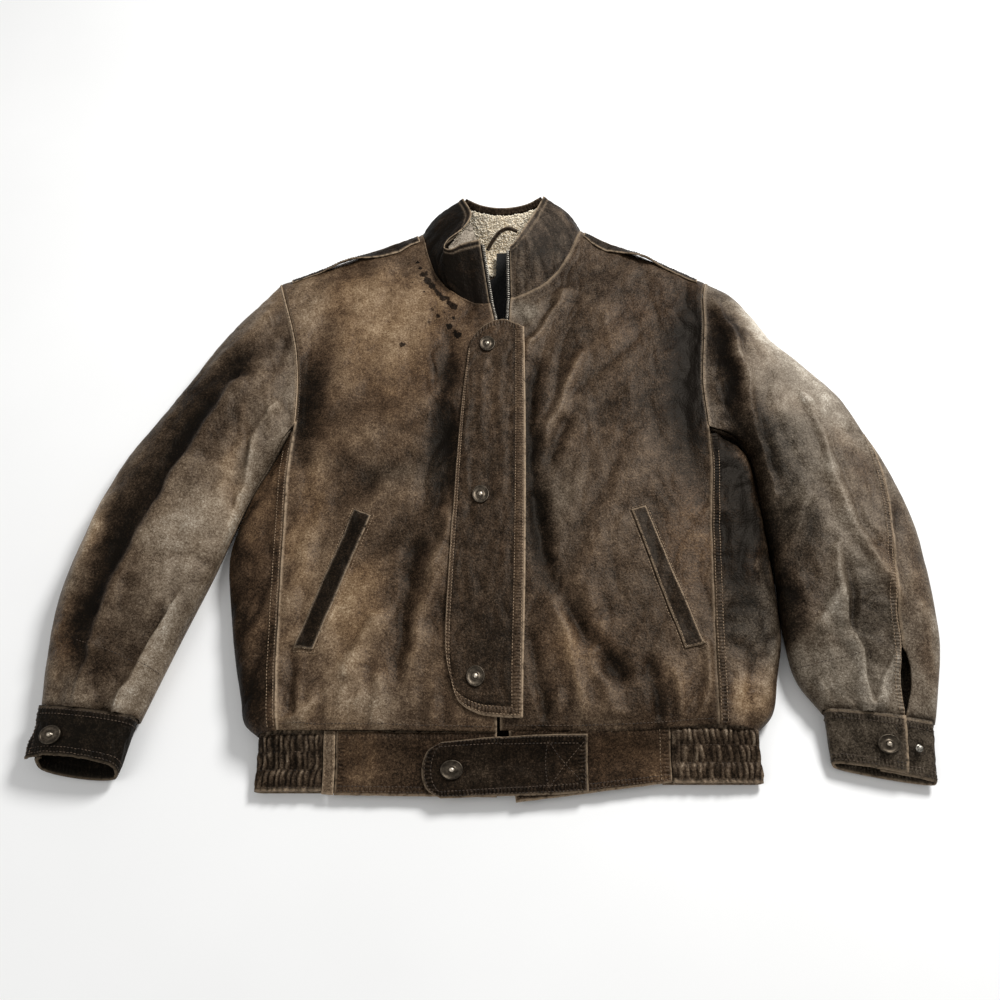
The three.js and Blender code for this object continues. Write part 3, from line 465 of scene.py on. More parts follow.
def body_top(side, x, y):
    """Height of the front of the body."""
    shoulder = distance_to(x, y, NECK_POINT[side], SHOULDER_TIP[side])
    above_hem = y - HEM_Y[side]
    shoulder_drop = (BODY_TOP - EDGE_TOP) * (1 - roll(shoulder, SHOULDER_ROLL))
    hem_drop = (BODY_TOP - HEM_TOP) * (1 - roll(above_hem + 6, HEM_ROLL + 6))
    still = smooth(shoulder, 2, 26) * smooth(above_hem, 1, 14)
    return BODY_TOP - shoulder_drop - hem_drop + still * body_relief(side, x, y)


# ---------------------------------------------------------------- materials


def srgb(r, g, b):
    """A colour written as 0 to 255, as light."""
    return [((c / 255 + 0.055) / 1.055) ** 2.4 if c > 10 else c / 255 / 12.92 for c in (r, g, b)] + [1]


class Nodes:
    """A material's nodes, made and joined in few words."""

    def __init__(self, name):
        self.material = bpy.data.materials.new(name)
        self.material.use_nodes = True
        self.tree = self.material.node_tree
        self.shader = self.tree.nodes["Principled BSDF"]
        self.place = self.add("ShaderNodeTexCoord").outputs["Object"]

    def add(self, kind, inputs=None, **settings):
        node = self.tree.nodes.new(kind)
        for key, value in settings.items():
            setattr(node, key, value)
        for key, value in (inputs or {}).items():
            self.feed(node.inputs[key], value)
        return node

    def feed(self, socket, value):
        if isinstance(value, bpy.types.NodeSocket):
            self.tree.links.new(value, socket)
        else:
            socket.default_value = value

    def mark(self, name):
        return self.add("ShaderNodeAttribute", attribute_name=name).outputs["Fac"]

    def noise(self, scale, detail=3.0, rough=0.55, stretch=None):
        place = self.place
        if stretch:
            place = self.add("ShaderNodeMapping", {"Vector": place, "Scale": stretch}).outputs[0]
        made = self.add("ShaderNodeTexNoise", {"Vector": place, "Scale": scale, "Detail": detail,
                                               "Roughness": rough})
        return made.outputs["Fac"]

    def sum(self, *parts):
        """Adds socket * factor for each (socket, factor) and the plain numbers."""
        total = sum(p for p in parts if not isinstance(p, tuple)) + 0.0
        for socket, factor in (p for p in parts if isinstance(p, tuple)):
            made = self.add("ShaderNodeMath", operation="MULTIPLY_ADD")
            self.feed(made.inputs[0], socket)
            self.feed(made.inputs[1], factor)
            self.feed(made.inputs[2], total)
            total = made.outputs[0]
        return total

    def times(self, a, b):
        made = self.add("ShaderNodeMath", operation="MULTIPLY")
        self.feed(made.inputs[0], a)
        self.feed(made.inputs[1], b)
        return made.outputs[0]

    def step(self, value, low, high, to_low=0.0, to_high=1.0):
        inputs = {"Value": value, "From Min": low, "From Max": high, "To Min": to_low, "To Max": to_high}
        return self.add("ShaderNodeMapRange", inputs, interpolation_type="SMOOTHSTEP").outputs["Result"]

    def ramp(self, value, stops):
        made = self.add("ShaderNodeValToRGB", {"Fac": value})
        points = made.color_ramp.elements
        points[0].position, points[0].color = stops[0][0], srgb(*stops[0][1])
        points[1].position, points[1].color = stops[-1][0], srgb(*stops[-1][1])
        for place, colour in stops[1:-1]:
            points.new(place).color = srgb(*colour)
        return made.outputs["Color"]

    def blend(self, a, b, share):
        made = self.add("ShaderNodeMix", data_type="RGBA")
        self.feed(made.inputs["Factor"], share)
        self.feed(made.inputs[6], a)
        self.feed(made.inputs[7], b)
        return made.outputs[2]

    def bump(self, height, depth, strength=1.0, below=None):
        inputs = {"Height": height, "Distance": depth, "Strength": strength}
        if below:
            inputs["Normal"] = below
        return self.add("ShaderNodeBump", inputs).outputs["Normal"]


WARM_TONES = [(0.0, (7, 4, 2)), (0.22, (33, 22, 12)), (0.45, (70, 51, 34)), (0.65, (112, 87, 60)),
              (0.85, (152, 126, 94)), (1.0, (196, 172, 138))]
GREY_TONES = [(0.0, (7, 6, 4)), (0.22, (33, 27, 20)), (0.45, (70, 61, 50)), (0.65, (108, 98, 85)),
              (0.85, (148, 138, 124)), (1.0, (192, 184, 170))]
WORN_EDGE = (176, 154, 128)


def leather(name, lift=0.0, grain=1.0, gloss=0.22):
    """Old leather: mottled tones, rubbed edges, painted highlight on crests and painted shade in troughs,
    pebbled grain and fine creases.

    The piece's own marks steer it: shade (tone, partly painted shade), warm, edge (rubbed seams), high
    (crests painted lighter
    and troughs darker: painted highlight and painted shade), ink (dark stains and scratches), sewn_x and
    sewn_y (puckers along X or Y beside stitches, painted lighter on their ribs and darker between them).
    """
    n = Nodes(name)
    clouds = n.noise(19, 3, 0.6)
    mottle = n.noise(80, 4, 0.7)
    speckle = n.noise(430, 2, 0.8)
    fine = n.noise(1000, 1, 0.6)
    stain = n.step(n.sum(-0.3, (n.mark("ink"), 1.0), (n.noise(330, 2, 0.6), 0.6)), 0.36, 0.5)
    wave = {"Vector": n.place, "Scale": 88.0, "Distortion": 2.5, "Detail": 1.0, "Detail Scale": 2.0}
    upright = n.add("ShaderNodeTexWave", wave, bands_direction="X").outputs["Fac"]
    level_ribs = n.add("ShaderNodeTexWave", wave, bands_direction="Y").outputs["Fac"]
    sewn_x, sewn_y = n.mark("sewn_x"), n.mark("sewn_y")
    puckers = n.sum((upright, sewn_x), (n.times(level_ribs, sewn_y), 1.0))
    # The high mark and the sewn puckers add painted highlight on crests and ribs and painted shade in troughs
    # and between ribs.
    shade = n.sum(lift - 1.06, (n.mark("shade"), 1.0), (clouds, 0.2), (mottle, 0.5), (speckle, 0.7),
                  (fine, 0.5), (n.mark("high"), 0.22), (stain, -0.42), (puckers, 0.15),
                  (sewn_x, -0.09), (sewn_y, -0.09))
    warm = n.sum(0.1, (n.mark("warm"), 1.0), (n.noise(24, 2, 0.5), 0.3), (shade, -0.6))
    colour = n.blend(n.ramp(shade, GREY_TONES), n.ramp(shade, WARM_TONES), warm)
    rubbed = n.times(n.mark("edge"), n.step(n.noise(200, 2, 0.6), 0.2, 0.56))
    colour = n.blend(colour, srgb(*WORN_EDGE), rubbed)
    n.feed(n.shader.inputs["Base Color"], colour)
    n.feed(n.shader.inputs["Roughness"], n.sum(0.4, (speckle, 0.2), (mottle, 0.12), (rubbed, 0.15)))
    n.feed(n.shader.inputs["Specular IOR Level"], n.step(shade, 0.05, 0.6, 0.4 * gloss, 1.3 * gloss))
    n.shader.inputs["Specular Tint"].default_value = (1.0, 0.86, 0.7, 1)
    pebble = n.add("ShaderNodeTexVoronoi", {"Vector": n.place, "Scale": 520.0}, feature="SMOOTH_F1")
    wrinkle = n.noise(120, 4, 0.65, stretch=(1.0, 0.5, 1.0))
    normal = n.bump(pebble.outputs["Distance"], 0.0006 * grain, 0.6)
    normal = n.bump(wrinkle, 0.0014 * grain, 0.7, normal)
    normal = n.bump(puckers, 0.0011, 0.8, normal)
    n.feed(n.shader.inputs["Normal"], n.bump(mottle, 0.001, 0.4, normal))
    return n.material


def fleece_wool():
    n = Nodes("cream fleece")
    curl = n.noise(620, 3, 0.7)
    # The curl noise that makes the bump also paints the fleece darker in its hollows: painted shade between
    # the curls.
    n.feed(n.shader.inputs["Base Color"],
           n.ramp(n.sum(-0.1, (curl, 0.8), (n.noise(45, 3, 0.6), 0.4)),
                  [(0.05, (204, 184, 152)), (0.35, (232, 216, 188)), (0.7, (247, 239, 222))]))
    n.shader.inputs["Roughness"].default_value = 0.95
    n.shader.inputs["Specular IOR Level"].default_value = 0.1
    n.feed(n.shader.inputs["Normal"], n.bump(curl, 0.0003, 0.5))
    return n.material


def woven_cloth():
    n = Nodes("black woven cloth")
    ribs = n.add("ShaderNodeTexWave", {"Vector": n.place, "Scale": 260.0, "Distortion": 1.5},
                 bands_direction="DIAGONAL")
    n.feed(n.shader.inputs["Base Color"],
           n.ramp(n.sum((ribs.outputs["Fac"], 0.5), (n.noise(300), 0.5)),
                  [(0.2, (8, 8, 8)), (0.6, (22, 21, 20)), (0.9, (44, 42, 40))]))
    n.shader.inputs["Roughness"].default_value = 0.85
    n.feed(n.shader.inputs["Normal"], n.bump(ribs.outputs["Fac"], 0.0004, 0.6))
    return n.material


def metal(name, tones, rough):
    n = Nodes(name)
    wear = n.noise(240, 4, 0.7)
    # The ball in the middle of a cap or stud is painted brighter: a painted highlight.
    n.feed(n.shader.inputs["Base Color"], n.ramp(n.sum((wear, 1.0), (n.mark("ball_highlight"), 0.5)), tones))
    n.shader.inputs["Metallic"].default_value = 1.0
    n.feed(n.shader.inputs["Roughness"], n.sum(rough, (wear, 0.25)))
    n.feed(n.shader.inputs["Normal"], n.bump(n.noise(700, 3), 0.0002, 0.4))
    return n.material


def thread(name, dark, light):
    n = Nodes(name)
    n.feed(n.shader.inputs["Base Color"], n.ramp(n.noise(130, 2), [(0.35, dark), (0.65, light)]))
    n.shader.inputs["Roughness"].default_value = 0.7
    n.feed(n.shader.inputs["Normal"], n.bump(n.noise(2600, 2), 0.0002, 0.5))
    return n.material


BODY = leather("worn brown body leather")
SLEEVE = leather("worn grey-brown sleeve leather")
TRIMMED = leather("creased brown trim leather", grain=0.9)
DARK = leather("near-black edge leather", grain=0.6)
FACING = leather("silver facing leather", lift=0.2, grain=1.8, gloss=0.7)
FLEECE = fleece_wool()
CLOTH = woven_cloth()
# The pale top stop is reached mostly on the ball marks: a painted highlight.
BRONZE_TONES = [(0.3, (44, 39, 33)), (0.55, (80, 72, 62)), (0.8, (120, 110, 96)), (1.0, (220, 208, 190))]
BRONZE = metal("dark bronze", BRONZE_TONES, 0.34)
STEEL = metal("dull zip metal", [(0.3, (96, 91, 84)), (0.7, (190, 184, 172))], 0.25)
PALE_THREAD = thread("rubbed tan thread", (98, 78, 58), (160, 136, 108))
DARK_THREAD = thread("dark brown thread", (30, 22, 16), (92, 74, 57))

# ---------------------------------------------------------------- making pieces


def even(count):
    return np.linspace(0, 1, count + 1)


def finish_piece(obj, nodes, slot):
    bpy.context.scene.collection.objects.link(obj)
    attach(obj, "root")
    if nodes:
        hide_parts(*nodes)
    return obj


def skin(name, surface, cells, material, thickness, inside, marks, nodes, slot, denser=0.45):
    """A sheet on `surface(u, v)` with a wall behind it.

    `inside` gives the way from its points towards the wall's hidden face. `denser` packs the
    columns and rows closer at the borders. `marks` gives the leather's marks for the points.
    """
    bm = bmesh.new()
    bmesh.ops.create_grid(bm, x_segments=cells[0], y_segments=cells[1], size=0.5)
    mesh = bpy.data.meshes.new(name)
    bm.to_mesh(mesh)
    bm.free()
    flat = np.empty(3 * len(mesh.vertices), np.float32)
    mesh.vertices.foreach_get("co", flat)
    flat = flat.reshape(-1, 3).astype(float)
    span = flat.max(0) - flat.min(0)
    t = (flat - flat.min(0))[:, :2] / span[:2]
    t -= denser * np.sin(2 * math.pi * t) / (2 * math.pi)
    u, v = t.T
    at = surface(u, v)
    mesh.vertices.foreach_set("co", (at * MM).astype(np.float32).ravel())
    mesh.update()
    normals = np.empty(3 * len(mesh.vertices), np.float32)
    mesh.vertices.foreach_get("normal", normals)
    if (normals.reshape(-1, 3) * inside(at)).sum() > 0:
        mesh.flip_normals()
    for key, values in marks(at, u, v).items():
        made = mesh.attributes.new(key, "FLOAT", "POINT")
        made.data.foreach_set("value", np.broadcast_to(values, len(at)).astype(np.float32))
    mesh.shade_smooth()
    mesh.materials.append(material)
    obj = bpy.data.objects.new(name, mesh)
    wall = obj.modifiers.new("wall", "SOLIDIFY")
    wall.thickness = thickness * MM
    wall.offset = -1
    return finish_piece(obj, nodes, slot)


def downwards(at):
    return np.array([0, 0, -1.0])


def upwards(at):
    return np.array([0, 0, 1.0])


def to_point(x, z):
    """Inwards for a tube along Y about the line at x, z."""
    return lambda at: np.array([x, 0, z]) - at * [1, 0, 1]


def flat_marks(shade, warm=0.4, edge=0.0):
    return lambda at, u, v: {"shade": shade, "warm": warm, "edge": edge, "high": 0.0}


def along(points, pitch):
    """Points at an even pitch on a line of points, and the way the line runs there."""
    walked = np.append(0, np.cumsum(np.linalg.norm(np.diff(points, axis=0), axis=1)))
    at = np.arange(pitch / 2, walked[-1], pitch)
    spots = np.stack([np.interp(at, walked, points[:, k]) for k in range(3)], -1)
    ahead = np.stack([np.interp(at + pitch / 4, walked, points[:, k]) for k in range(3)], -1)
    behind = np.stack([np.interp(at - pitch / 4, walked, points[:, k]) for k in range(3)], -1)
    way = ahead - behind
    return spots, way / np.maximum(np.linalg.norm(way, axis=1, keepdims=True), 1e-9)


def set_in_rows(name, rows, pitch, shape, size, material, slot, turn=None):
    """Copies of a small shape at an even pitch along rows, as one joined mesh.

    `rows` are lines of points; `shape` is a Geometry Nodes mesh node with its settings.
    """
    spots, ways = zip(*(along(row, pitch) for row in rows))
    spots, ways = np.vstack(spots), np.vstack(ways)
    turns = np.stack([0 * ways[:, 0], -np.arcsin(np.clip(ways[:, 2], -1, 1)),
                      np.arctan2(ways[:, 1], ways[:, 0])], -1)
    if turn is not None:
        turns = turn(spots, turns)
    return scatter(name, spots, turns, shape, size, material, slot)


def scatter(name, spots, turns, shape, size, material, slot):
    mesh = bpy.data.meshes.new(name)
    mesh.from_pydata((spots * MM).tolist(), [], [])
    spin = mesh.attributes.new("turn", "FLOAT_VECTOR", "POINT")
    spin.data.foreach_set("vector", turns.astype(np.float32).ravel())
    tree = bpy.data.node_groups.new(name, "GeometryNodeTree")
    tree.interface.new_socket("Geometry", in_out="INPUT", socket_type="NodeSocketGeometry")
    tree.interface.new_socket("Geometry", in_out="OUTPUT", socket_type="NodeSocketGeometry")
    entry, leave = tree.nodes.new("NodeGroupInput"), tree.nodes.new("NodeGroupOutput")
    kind, settings = shape
    one = tree.nodes.new(kind)
    for key, value in settings.items():
        one.inputs[key].default_value = value
    turned = tree.nodes.new("GeometryNodeInputNamedAttribute")
    turned.data_type = "FLOAT_VECTOR"
    turned.inputs["Name"].default_value = "turn"
    copies = tree.nodes.new("GeometryNodeInstanceOnPoints")
    copies.inputs["Scale"].default_value = [s * MM for s in size]
    real = tree.nodes.new("GeometryNodeRealizeInstances")
    round_off = tree.nodes.new("GeometryNodeSetShadeSmooth")
    paint = tree.nodes.new("GeometryNodeSetMaterial")
    paint.inputs["Material"].default_value = material
    links = tree.links
    links.new(entry.outputs[0], copies.inputs["Points"])
    links.new(one.outputs[0], copies.inputs["Instance"])
    links.new(turned.outputs["Attribute"], copies.inputs["Rotation"])
    links.new(copies.outputs[0], real.inputs[0])
    links.new(real.outputs[0], round_off.inputs[0])
    links.new(round_off.outputs[0], paint.inputs[0])
    links.new(paint.outputs[0], leave.inputs[0])
    mesh.materials.append(material)
    obj = bpy.data.objects.new(name, mesh)
    obj.modifiers.new("copies", "NODES").node_group = tree
    return finish_piece(obj, (), slot)


BEAD = ("GeometryNodeMeshUVSphere", {"Segments": 6, "Rings": 4, "Radius": 1.0})
BLOCK = ("GeometryNodeMeshCube", {"Size": (1, 1, 1)})
CURL = ("GeometryNodeMeshIcoSphere", {"Radius": 1.0, "Subdivisions": 1})
STITCH = (1.35, 0.42, 0.36)     # half length, half width, half height
STITCH_PITCH = 3.5


def inset(points, distance):
    """A line of points moved sideways in plan, to the left of its run."""
    way = np.gradient(points[:, :2], axis=0)
    way /= np.maximum(np.linalg.norm(way, axis=1, keepdims=True), 1e-9)
    moved = points.copy()
    moved[:, 0] -= way[:, 1] * distance
    moved[:, 1] += way[:, 0] * distance
    return moved


def laid_on(points, height, proud=0.25):
    """A line of points dropped on a height in plan."""
    placed = points.copy()
    placed[:, 2] = height(placed[:, 0], placed[:, 1]) + proud
    return placed


# ---------------------------------------------------------------- body


def front_plan(side):
    hem = line([ZIP_EDGE[side][0], (SIGN[side] * 110, -317), SIDE_SEAM[side][0]])
    top = chain(line(NECK_SEAM[side]), line([NECK_POINT[side], SHOULDER_TIP[side]]))
    flank = chain(line(SIDE_SEAM[side]), line(ARMHOLE[side]))
    return patch(hem, top, line(ZIP_EDGE[side]), flank)


def inked(x, y, spots, scratches=()):
    """Dark spots and scratches: 1 at their middle, 0 outside."""
    ink = 0 * x
    for px, py, size in spots:
        ink = np.maximum(ink, 1 - np.hypot(x - px, y - py) / (1.7 * size))
    for points, width in scratches:
        ink = np.maximum(ink, 1 - np.abs(side_of_line(x, y, walk(line(points), 20))) / width)
    return ink


SPOTS = [(-92, 259, 4), (-86, 250, 5), (-80, 242, 5), (-88, 262, 3), (-72, 230, 4), (-66, 222, 5),
         (-76, 236, 3), (-58, 214, 4), (-52, 208, 5), (-96, 270, 3), (-60, 222, 3), (-99, 281, 3),
         (-57, 178, 4), (-46, 165, 4.5), (-50, 170, 3), (-82, 185, 2.2), (-71, 194, 3.2), (-112, 150, 4),
         (-78, 205, 2.6), (-64, 200, 2), (-90, 232, 2.4), (-104, 246, 2.2), (-52, 190, 2.6)]


def on_body(side, points):
    run = walk(line(points), 60)
    return laid_on(run, lambda x, y: body_top(side, x, y), 0)


def edge_wear(at, borders):
    """How rubbed the leather is near its borders: (line of points, reach, strength) each."""
    worn = sum(strength * hump(near_line(at, run), reach) for run, reach, strength in borders)
    return np.clip(worn, 0, 1)


def front_surface(side):
    plan = front_plan(side)
    flank = walk(line(SIDE_SEAM[side]))
    armhole = walk(line(ARMHOLE[side]))
    neck = walk(line(NECK_SEAM[side]))

    def surface(u, v):
        p = plan(u, mix(0.001, 0.999, v))
        p[:, 2] = body_top(side, p[:, 0], p[:, 1])
        flat = p * [1, 1, 0]
        p[:, 2] += 1.1 * hump(near_line(flat, flank), 1.5)
        d = near_line(flat, armhole)
        p[:, 2] += 0.5 * (smooth(d, 0.6, 2) - smooth(d, 8.5, 10)) - 0.9 * hump(d, 1.1)
        p[:, 2] += 1.3 * hump(near_line(flat, neck) - 0.8, 1.4)
        return p
    return surface


def build_front(side):
    worn = [(on_body(side, SIDE_SEAM[side]), 1.5, 1.2 if side == "right" else 0.5),
            (on_body(side, ARMHOLE[side]), 1.4, 0.6),
            (on_body(side, NECK_SEAM[side]), 1.6, 0.15 if side == "right" else 0.8),
            (on_body(side, ZIP_EDGE[side]), 1.8, 0.5)]
    shade, warm = (0.52, 0.8) if side == "right" else (0.46, 0.66)

    def marks(at, u, v):
        x, y = at[:, 0], at[:, 1]
        light, tan = patched(BODY_PATCHES[side], x, y, shade, warm, BANDS[f"front_{side}"])
        # The high mark is painted highlight on the folds' crests and painted shade in their troughs.
        return {"shade": light, "warm": tan, "edge": edge_wear(at, worn),
                "ink": inked(x, y, SPOTS if side == "right" else []),
                "high": np.clip(body_relief(side, x, y) / 6, -1, 1)}
    skin(f"front_{side}_leather", front_surface(side), (112, 236), BODY, LEATHER, downwards, marks,
         [f"front_{side}"], "leather_body")


def floor_strip(v):
    return FLOOR_STRIP * smooth(1 - v, 0, 0.35) + 2


def side_surface(side):
    seam, edge = line(SIDE_SEAM[side]), line(BODY_EDGE[side])
    inwards = -SIGN[side]

    def surface(u, v):
        u, v = mix(0.0, 0.995, u), mix(0.0, 0.965, v)
        start, end = seam(v), edge(v)
        top = body_top(side, start[:, 0], start[:, 1])
        low = np.minimum(EDGE_TOP, top) - 2
        a = np.clip(u / 0.6, 0, 1) * math.pi / 2
        across, fall = np.sin(a) ** 0.85, np.cos(a).clip(0) ** 0.85
        p = mix(start, end, across[:, None])
        d = across * np.hypot(end[:, 0] - start[:, 0], end[:, 1] - start[:, 1])
        x, y = p[:, 0], p[:, 1]
        puff = 3.0 * (crumple(x, y, 34, 80, 2.4, 41) - 0.5) + 1.2 * (crumple(x, y, 14, 70, 1.6, 44) - 0.5)
        strip = 0.9 * (smooth(d, 0.3, 1.5) - smooth(d, 9.5, 11.5)) - 0.8 * hump(d, 1.2)
        p[:, 2] = low + (top - low) * fall + smooth(fall, 0, 0.35) * (strip + smooth(d, 1, 14) * puff)
        over = np.clip((u - 0.6) / 0.22, 0, 1) * math.pi / 2
        tucked = BACK_ROLL * (1 - np.cos(over)) + floor_strip(v) * np.clip((u - 0.82) / 0.18, 0, 1)
        p[:, 0] += np.where(u > 0.6, inwards * tucked, 0)
        p[:, 2] = np.where(u > 0.6, low * (1 - np.sin(over)), p[:, 2])
        return p
    return surface


def build_side_panel(side):
    worn = [(on_body(side, SIDE_SEAM[side]), 1.5, 0.3 if side == "right" else 0.6)]
    shade, warm = (0.46, 0.9) if side == "right" else (0.44, 0.6)

    def marks(at, u, v):
        x, y = at[:, 0], at[:, 1]
        light, tan = patched(SIDE_PATCHES[side], x, y, shade, warm, BANDS[f"side_{side}"])
        seam = near_line(at, worn[0][0])
        # Painted shade: darker where the panel turns down towards the floor; the high mark paints its puffs
        # lighter and creases darker.
        return {"shade": light - 0.1 * smooth(u, 0.4, 0.7), "warm": tan, "edge": edge_wear(at, worn),
                "sewn_y": 0.5 * smooth(seam, 1.5, 2.5) * (1 - smooth(seam, 8.5, 10.5)),
                "high": 1.4 * (crumple(x, y, 34, 80, 2.4, 41) - 0.5)}
    skin(f"side_panel_{side}_leather", side_surface(side), (56, 140), BODY, LEATHER,
         to_point(SIGN[side] * 150, 12), marks, [f"side_panel_{side}"], "leather_body")


def back_flank(side):
    edge = line(BODY_EDGE[side])
    inwards = -SIGN[side]
    foot = []
    for v in np.linspace(0, 0.95, 11):
        x, y, _ = edge(v)
        out = abs(x) - BACK_ROLL - float(floor_strip(v)) - 6 * SEAM
        if v > 0.9:
            out = min(out, abs(PIT[side][0]) - 4 * SEAM)
        foot.append((SIGN[side] * out, y))
    armhole = [(x + 4 * inwards * SEAM, y) for x, y in ARMHOLE[side][1:]]
    return chain(line(foot), line([foot[-1], *armhole]))


def back_height(x, y):
    left = distance_to(x, y, NECK_POINT["left"], SHOULDER_TIP["left"])
    right = distance_to(x, y, NECK_POINT["right"], SHOULDER_TIP["right"])
    return (EDGE_TOP - 2) * (1 - roll(np.where(x < 0, right, left), BACK_ROLL + 3))


def back_surface():
    west, east = back_flank("right"), back_flank("left")
    hem = line([west(0.0), (0, -317), east(0.0)])
    top = chain(line([SHOULDER_TIP["right"], NECK_POINT["right"]]), line(BACK_NECK),
                line([NECK_POINT["left"], SHOULDER_TIP["left"]]))
    plan = patch(hem, top, west, east)

    def surface(u, v):
        p = plan(mix(0.003, 0.997, u), mix(0.001, 0.997, v))
        p[:, 2] = back_height(p[:, 0], p[:, 1])
        return p
    return surface


def build_back():
    def marks(at, u, v):
        light, tan = patched([], at[:, 0], at[:, 1], 0.42, 0.5)
        return {"shade": light, "warm": tan, "edge": 0.0, "high": 0.0}
    skin("back_panel_leather", back_surface(), (60, 70), BODY, LEATHER, upwards, marks, ["back_panel"],
         "leather_body")


# ---------------------------------------------------------------- sleeves

OUTER_SEAM = {
    "right": lambda v: 3 + 0 * v,
    "left": lambda v: 3 + 63 * np.sin(math.pi / 2 * np.clip((v - 0.4) / 0.42, 0, 1)),
}
VENT_FROM, VENT_TURN = 0.865, 8
CUFF_HEIGHT = {"right": 36, "left": 28}
SLEEVE_RUN = {"right": 72, "left": 105}      # the way the sleeve points, in degrees from +X


def sleeve_plan(side):
    cuff = line([SLEEVE_OUTER[side][-1], SLEEVE_INNER[side][-1]])
    return patch(line(ARMHOLE[side][::-1]), cuff, line(SLEEVE_OUTER[side]), line(SLEEVE_INNER[side]))


def sleeve_relief(side, x, y):
    seed = 61 if side == "right" else 71
    run = SLEEVE_RUN[side]
    soft = 3.0 * (crumple(x, y, 40, run, 2.0, seed) - 0.5)
    small = 1.5 * (crumple(x, y, 17, run + 24, 1.5, seed + 3) - 0.5)
    head = distance_to(x, y, SHOULDER_TIP[side], PIT[side])
    gathered = 1.5 * noise(x / 60, y / 9, seed + 6) * hump(head - 6, 22)
    cuff = distance_to(x, y, SLEEVE_OUTER[side][-1], SLEEVE_INNER[side][-1])
    pleats = 2.2 * noise(x / 10, y / 80, seed + 7) * hump(cuff, 34) - 4.2 * hump(cuff, 5)
    return folded(SLEEVE_FOLDS[side], x, y) + soft + small + gathered + pleats


def sleeve_ring(side):
    """A sleeve's outside: `turn` runs from its outer edge over the top (180) and back below (360)."""
    plan = sleeve_plan(side)

    def ring(turn, v):
        a = np.radians(turn % 360)
        u = (1 - np.cos(a)) / 2
        p = plan(u, v)
        span = np.linalg.norm(plan(0 * v, v) - plan(0 * v + 1, v), axis=1)
        crown = mix(SLEEVE_TOP, CUFF_HEIGHT[side], smooth(v, 0.72, 1))
        inner = mix(BODY_TOP, EDGE_TOP + 4, smooth(v, 0, 0.16))
        edge = mix(EDGE_TOP, inner, u)
        dome = np.sin(a).clip(0) ** 0.8
        relief = dome ** 0.7 * smooth(v, 0.0, 0.05) * sleeve_relief(side, p[:, 0], p[:, 1])
        root = plan(u, 0 * v)
        joined = body_top(side, root[:, 0], root[:, 1])
        free = smooth(v, 0, 0.14)
        top = mix(joined, edge + (crown - edge) * dome, free) + relief
        top = top + 1.3 * hump(v * 560 - 0.8, 1.6)
        lip = np.where(u < 0.5, edge, mix(joined, edge, free))
        under = lip * (1 - roll(np.minimum(u, 1 - u) * span, BACK_ROLL))
        p[:, 2] = np.where(turn % 360 < 180, top, under)
        return p
    return ring


def vent(side, v):
    if side == "right":
        return 0 * v
    return VENT_TURN * np.sin(math.pi * np.clip((v - VENT_FROM) / (1 - VENT_FROM), 0, 1) ** 0.8)


def upper_surface(side):
    ring, seam = sleeve_ring(side), OUTER_SEAM[side]

    def surface(u, v):
        v = mix(0.0, 0.998, v)
        start = seam(v) + 0.25 + 0.4 * vent(side, v)
        p = ring(mix(start, 179.75, u), v)
        if side == "left":
            d = u * 190
            strip = 0.9 * (smooth(d, 0.2, 1.2) - smooth(d, 11, 12.5)) - 0.5 * hump(d, 0.8)
            p[:, 2] += strip * smooth(v, 0.42, 0.5)
        return p
    return surface


def under_surface(side):
    ring, seam = sleeve_ring(side), OUTER_SEAM[side]

    def surface(u, v):
        v = mix(0.003, 0.998, v)
        corner = 0.25 + 2.4 * (1 - smooth(v, 0, 0.18))
        below = mix(180 + corner, 359.99, np.clip(u / 0.7, 0, 1))
        beyond = mix(360, 360 + seam(v) - 0.25 - vent(side, v), np.clip((u - 0.7) / 0.3, 0, 1))
        return ring(np.where(u <= 0.7, below, beyond), v)
    return surface


def sleeve_heart(side):
    plan = sleeve_plan(side)
    spine = plan(np.full(60, 0.5), np.linspace(0, 1, 60))

    def inside(at):
        x = np.interp(at[:, 1], spine[::-1, 1], spine[::-1, 0])
        return np.stack([x - at[:, 0], 0 * x, 17 - at[:, 2]], -1)
    return inside


def build_sleeve(side):
    shade, warm = (0.64, 0.34) if side == "right" else (0.64, 0.2)
    ring = sleeve_ring(side)
    root = ring(np.linspace(0, 180, 60), np.full(60, 0.003))

    def marks(at, u, v):
        x, y = at[:, 0], at[:, 1]
        light, tan = patched(SLEEVE_PATCHES[side], x, y, shade, warm, BANDS[f"sleeve_{side}"])
        worn = [(root, 1.6, 0.9 if side == "right" else 0.45)]
        if side == "left":
            seam = upper_surface(side)(np.zeros(60), np.linspace(0.45, 1, 60))
            worn.append((seam, 1.6, 0.7))
        sewn = 0.7 * (side == "left") * smooth(v, 0.42, 0.5) * (1 - smooth(u * 190, 10, 13))
        # The high mark is painted highlight on the folds' crests and painted shade in their troughs.
        return {"shade": light, "warm": tan, "edge": edge_wear(at, worn), "sewn_y": sewn,
                "high": np.clip(sleeve_relief(side, x, y) / 7, -1, 1)}

    def low_marks(at, u, v):
        made = marks(at, u, v)
        made["high"] = made["high"] * smooth(u, 0.7, 0.8)
        made["sewn_y"] = 0 * u
        return made
    skin(f"sleeve_upper_{side}_leather", upper_surface(side), (80, 200), SLEEVE, LEATHER,
         sleeve_heart(side), marks, [f"sleeve_upper_{side}"], "leather_sleeve")
    columns = 70 if side == "left" else 48
    skin(f"sleeve_under_{side}_leather", under_surface(side), (columns, 90), SLEEVE, LEATHER,
         sleeve_heart(side), low_marks, [f"sleeve_under_{side}"], "leather_sleeve", denser=0.0)


# ---------------------------------------------------------------- cuffs

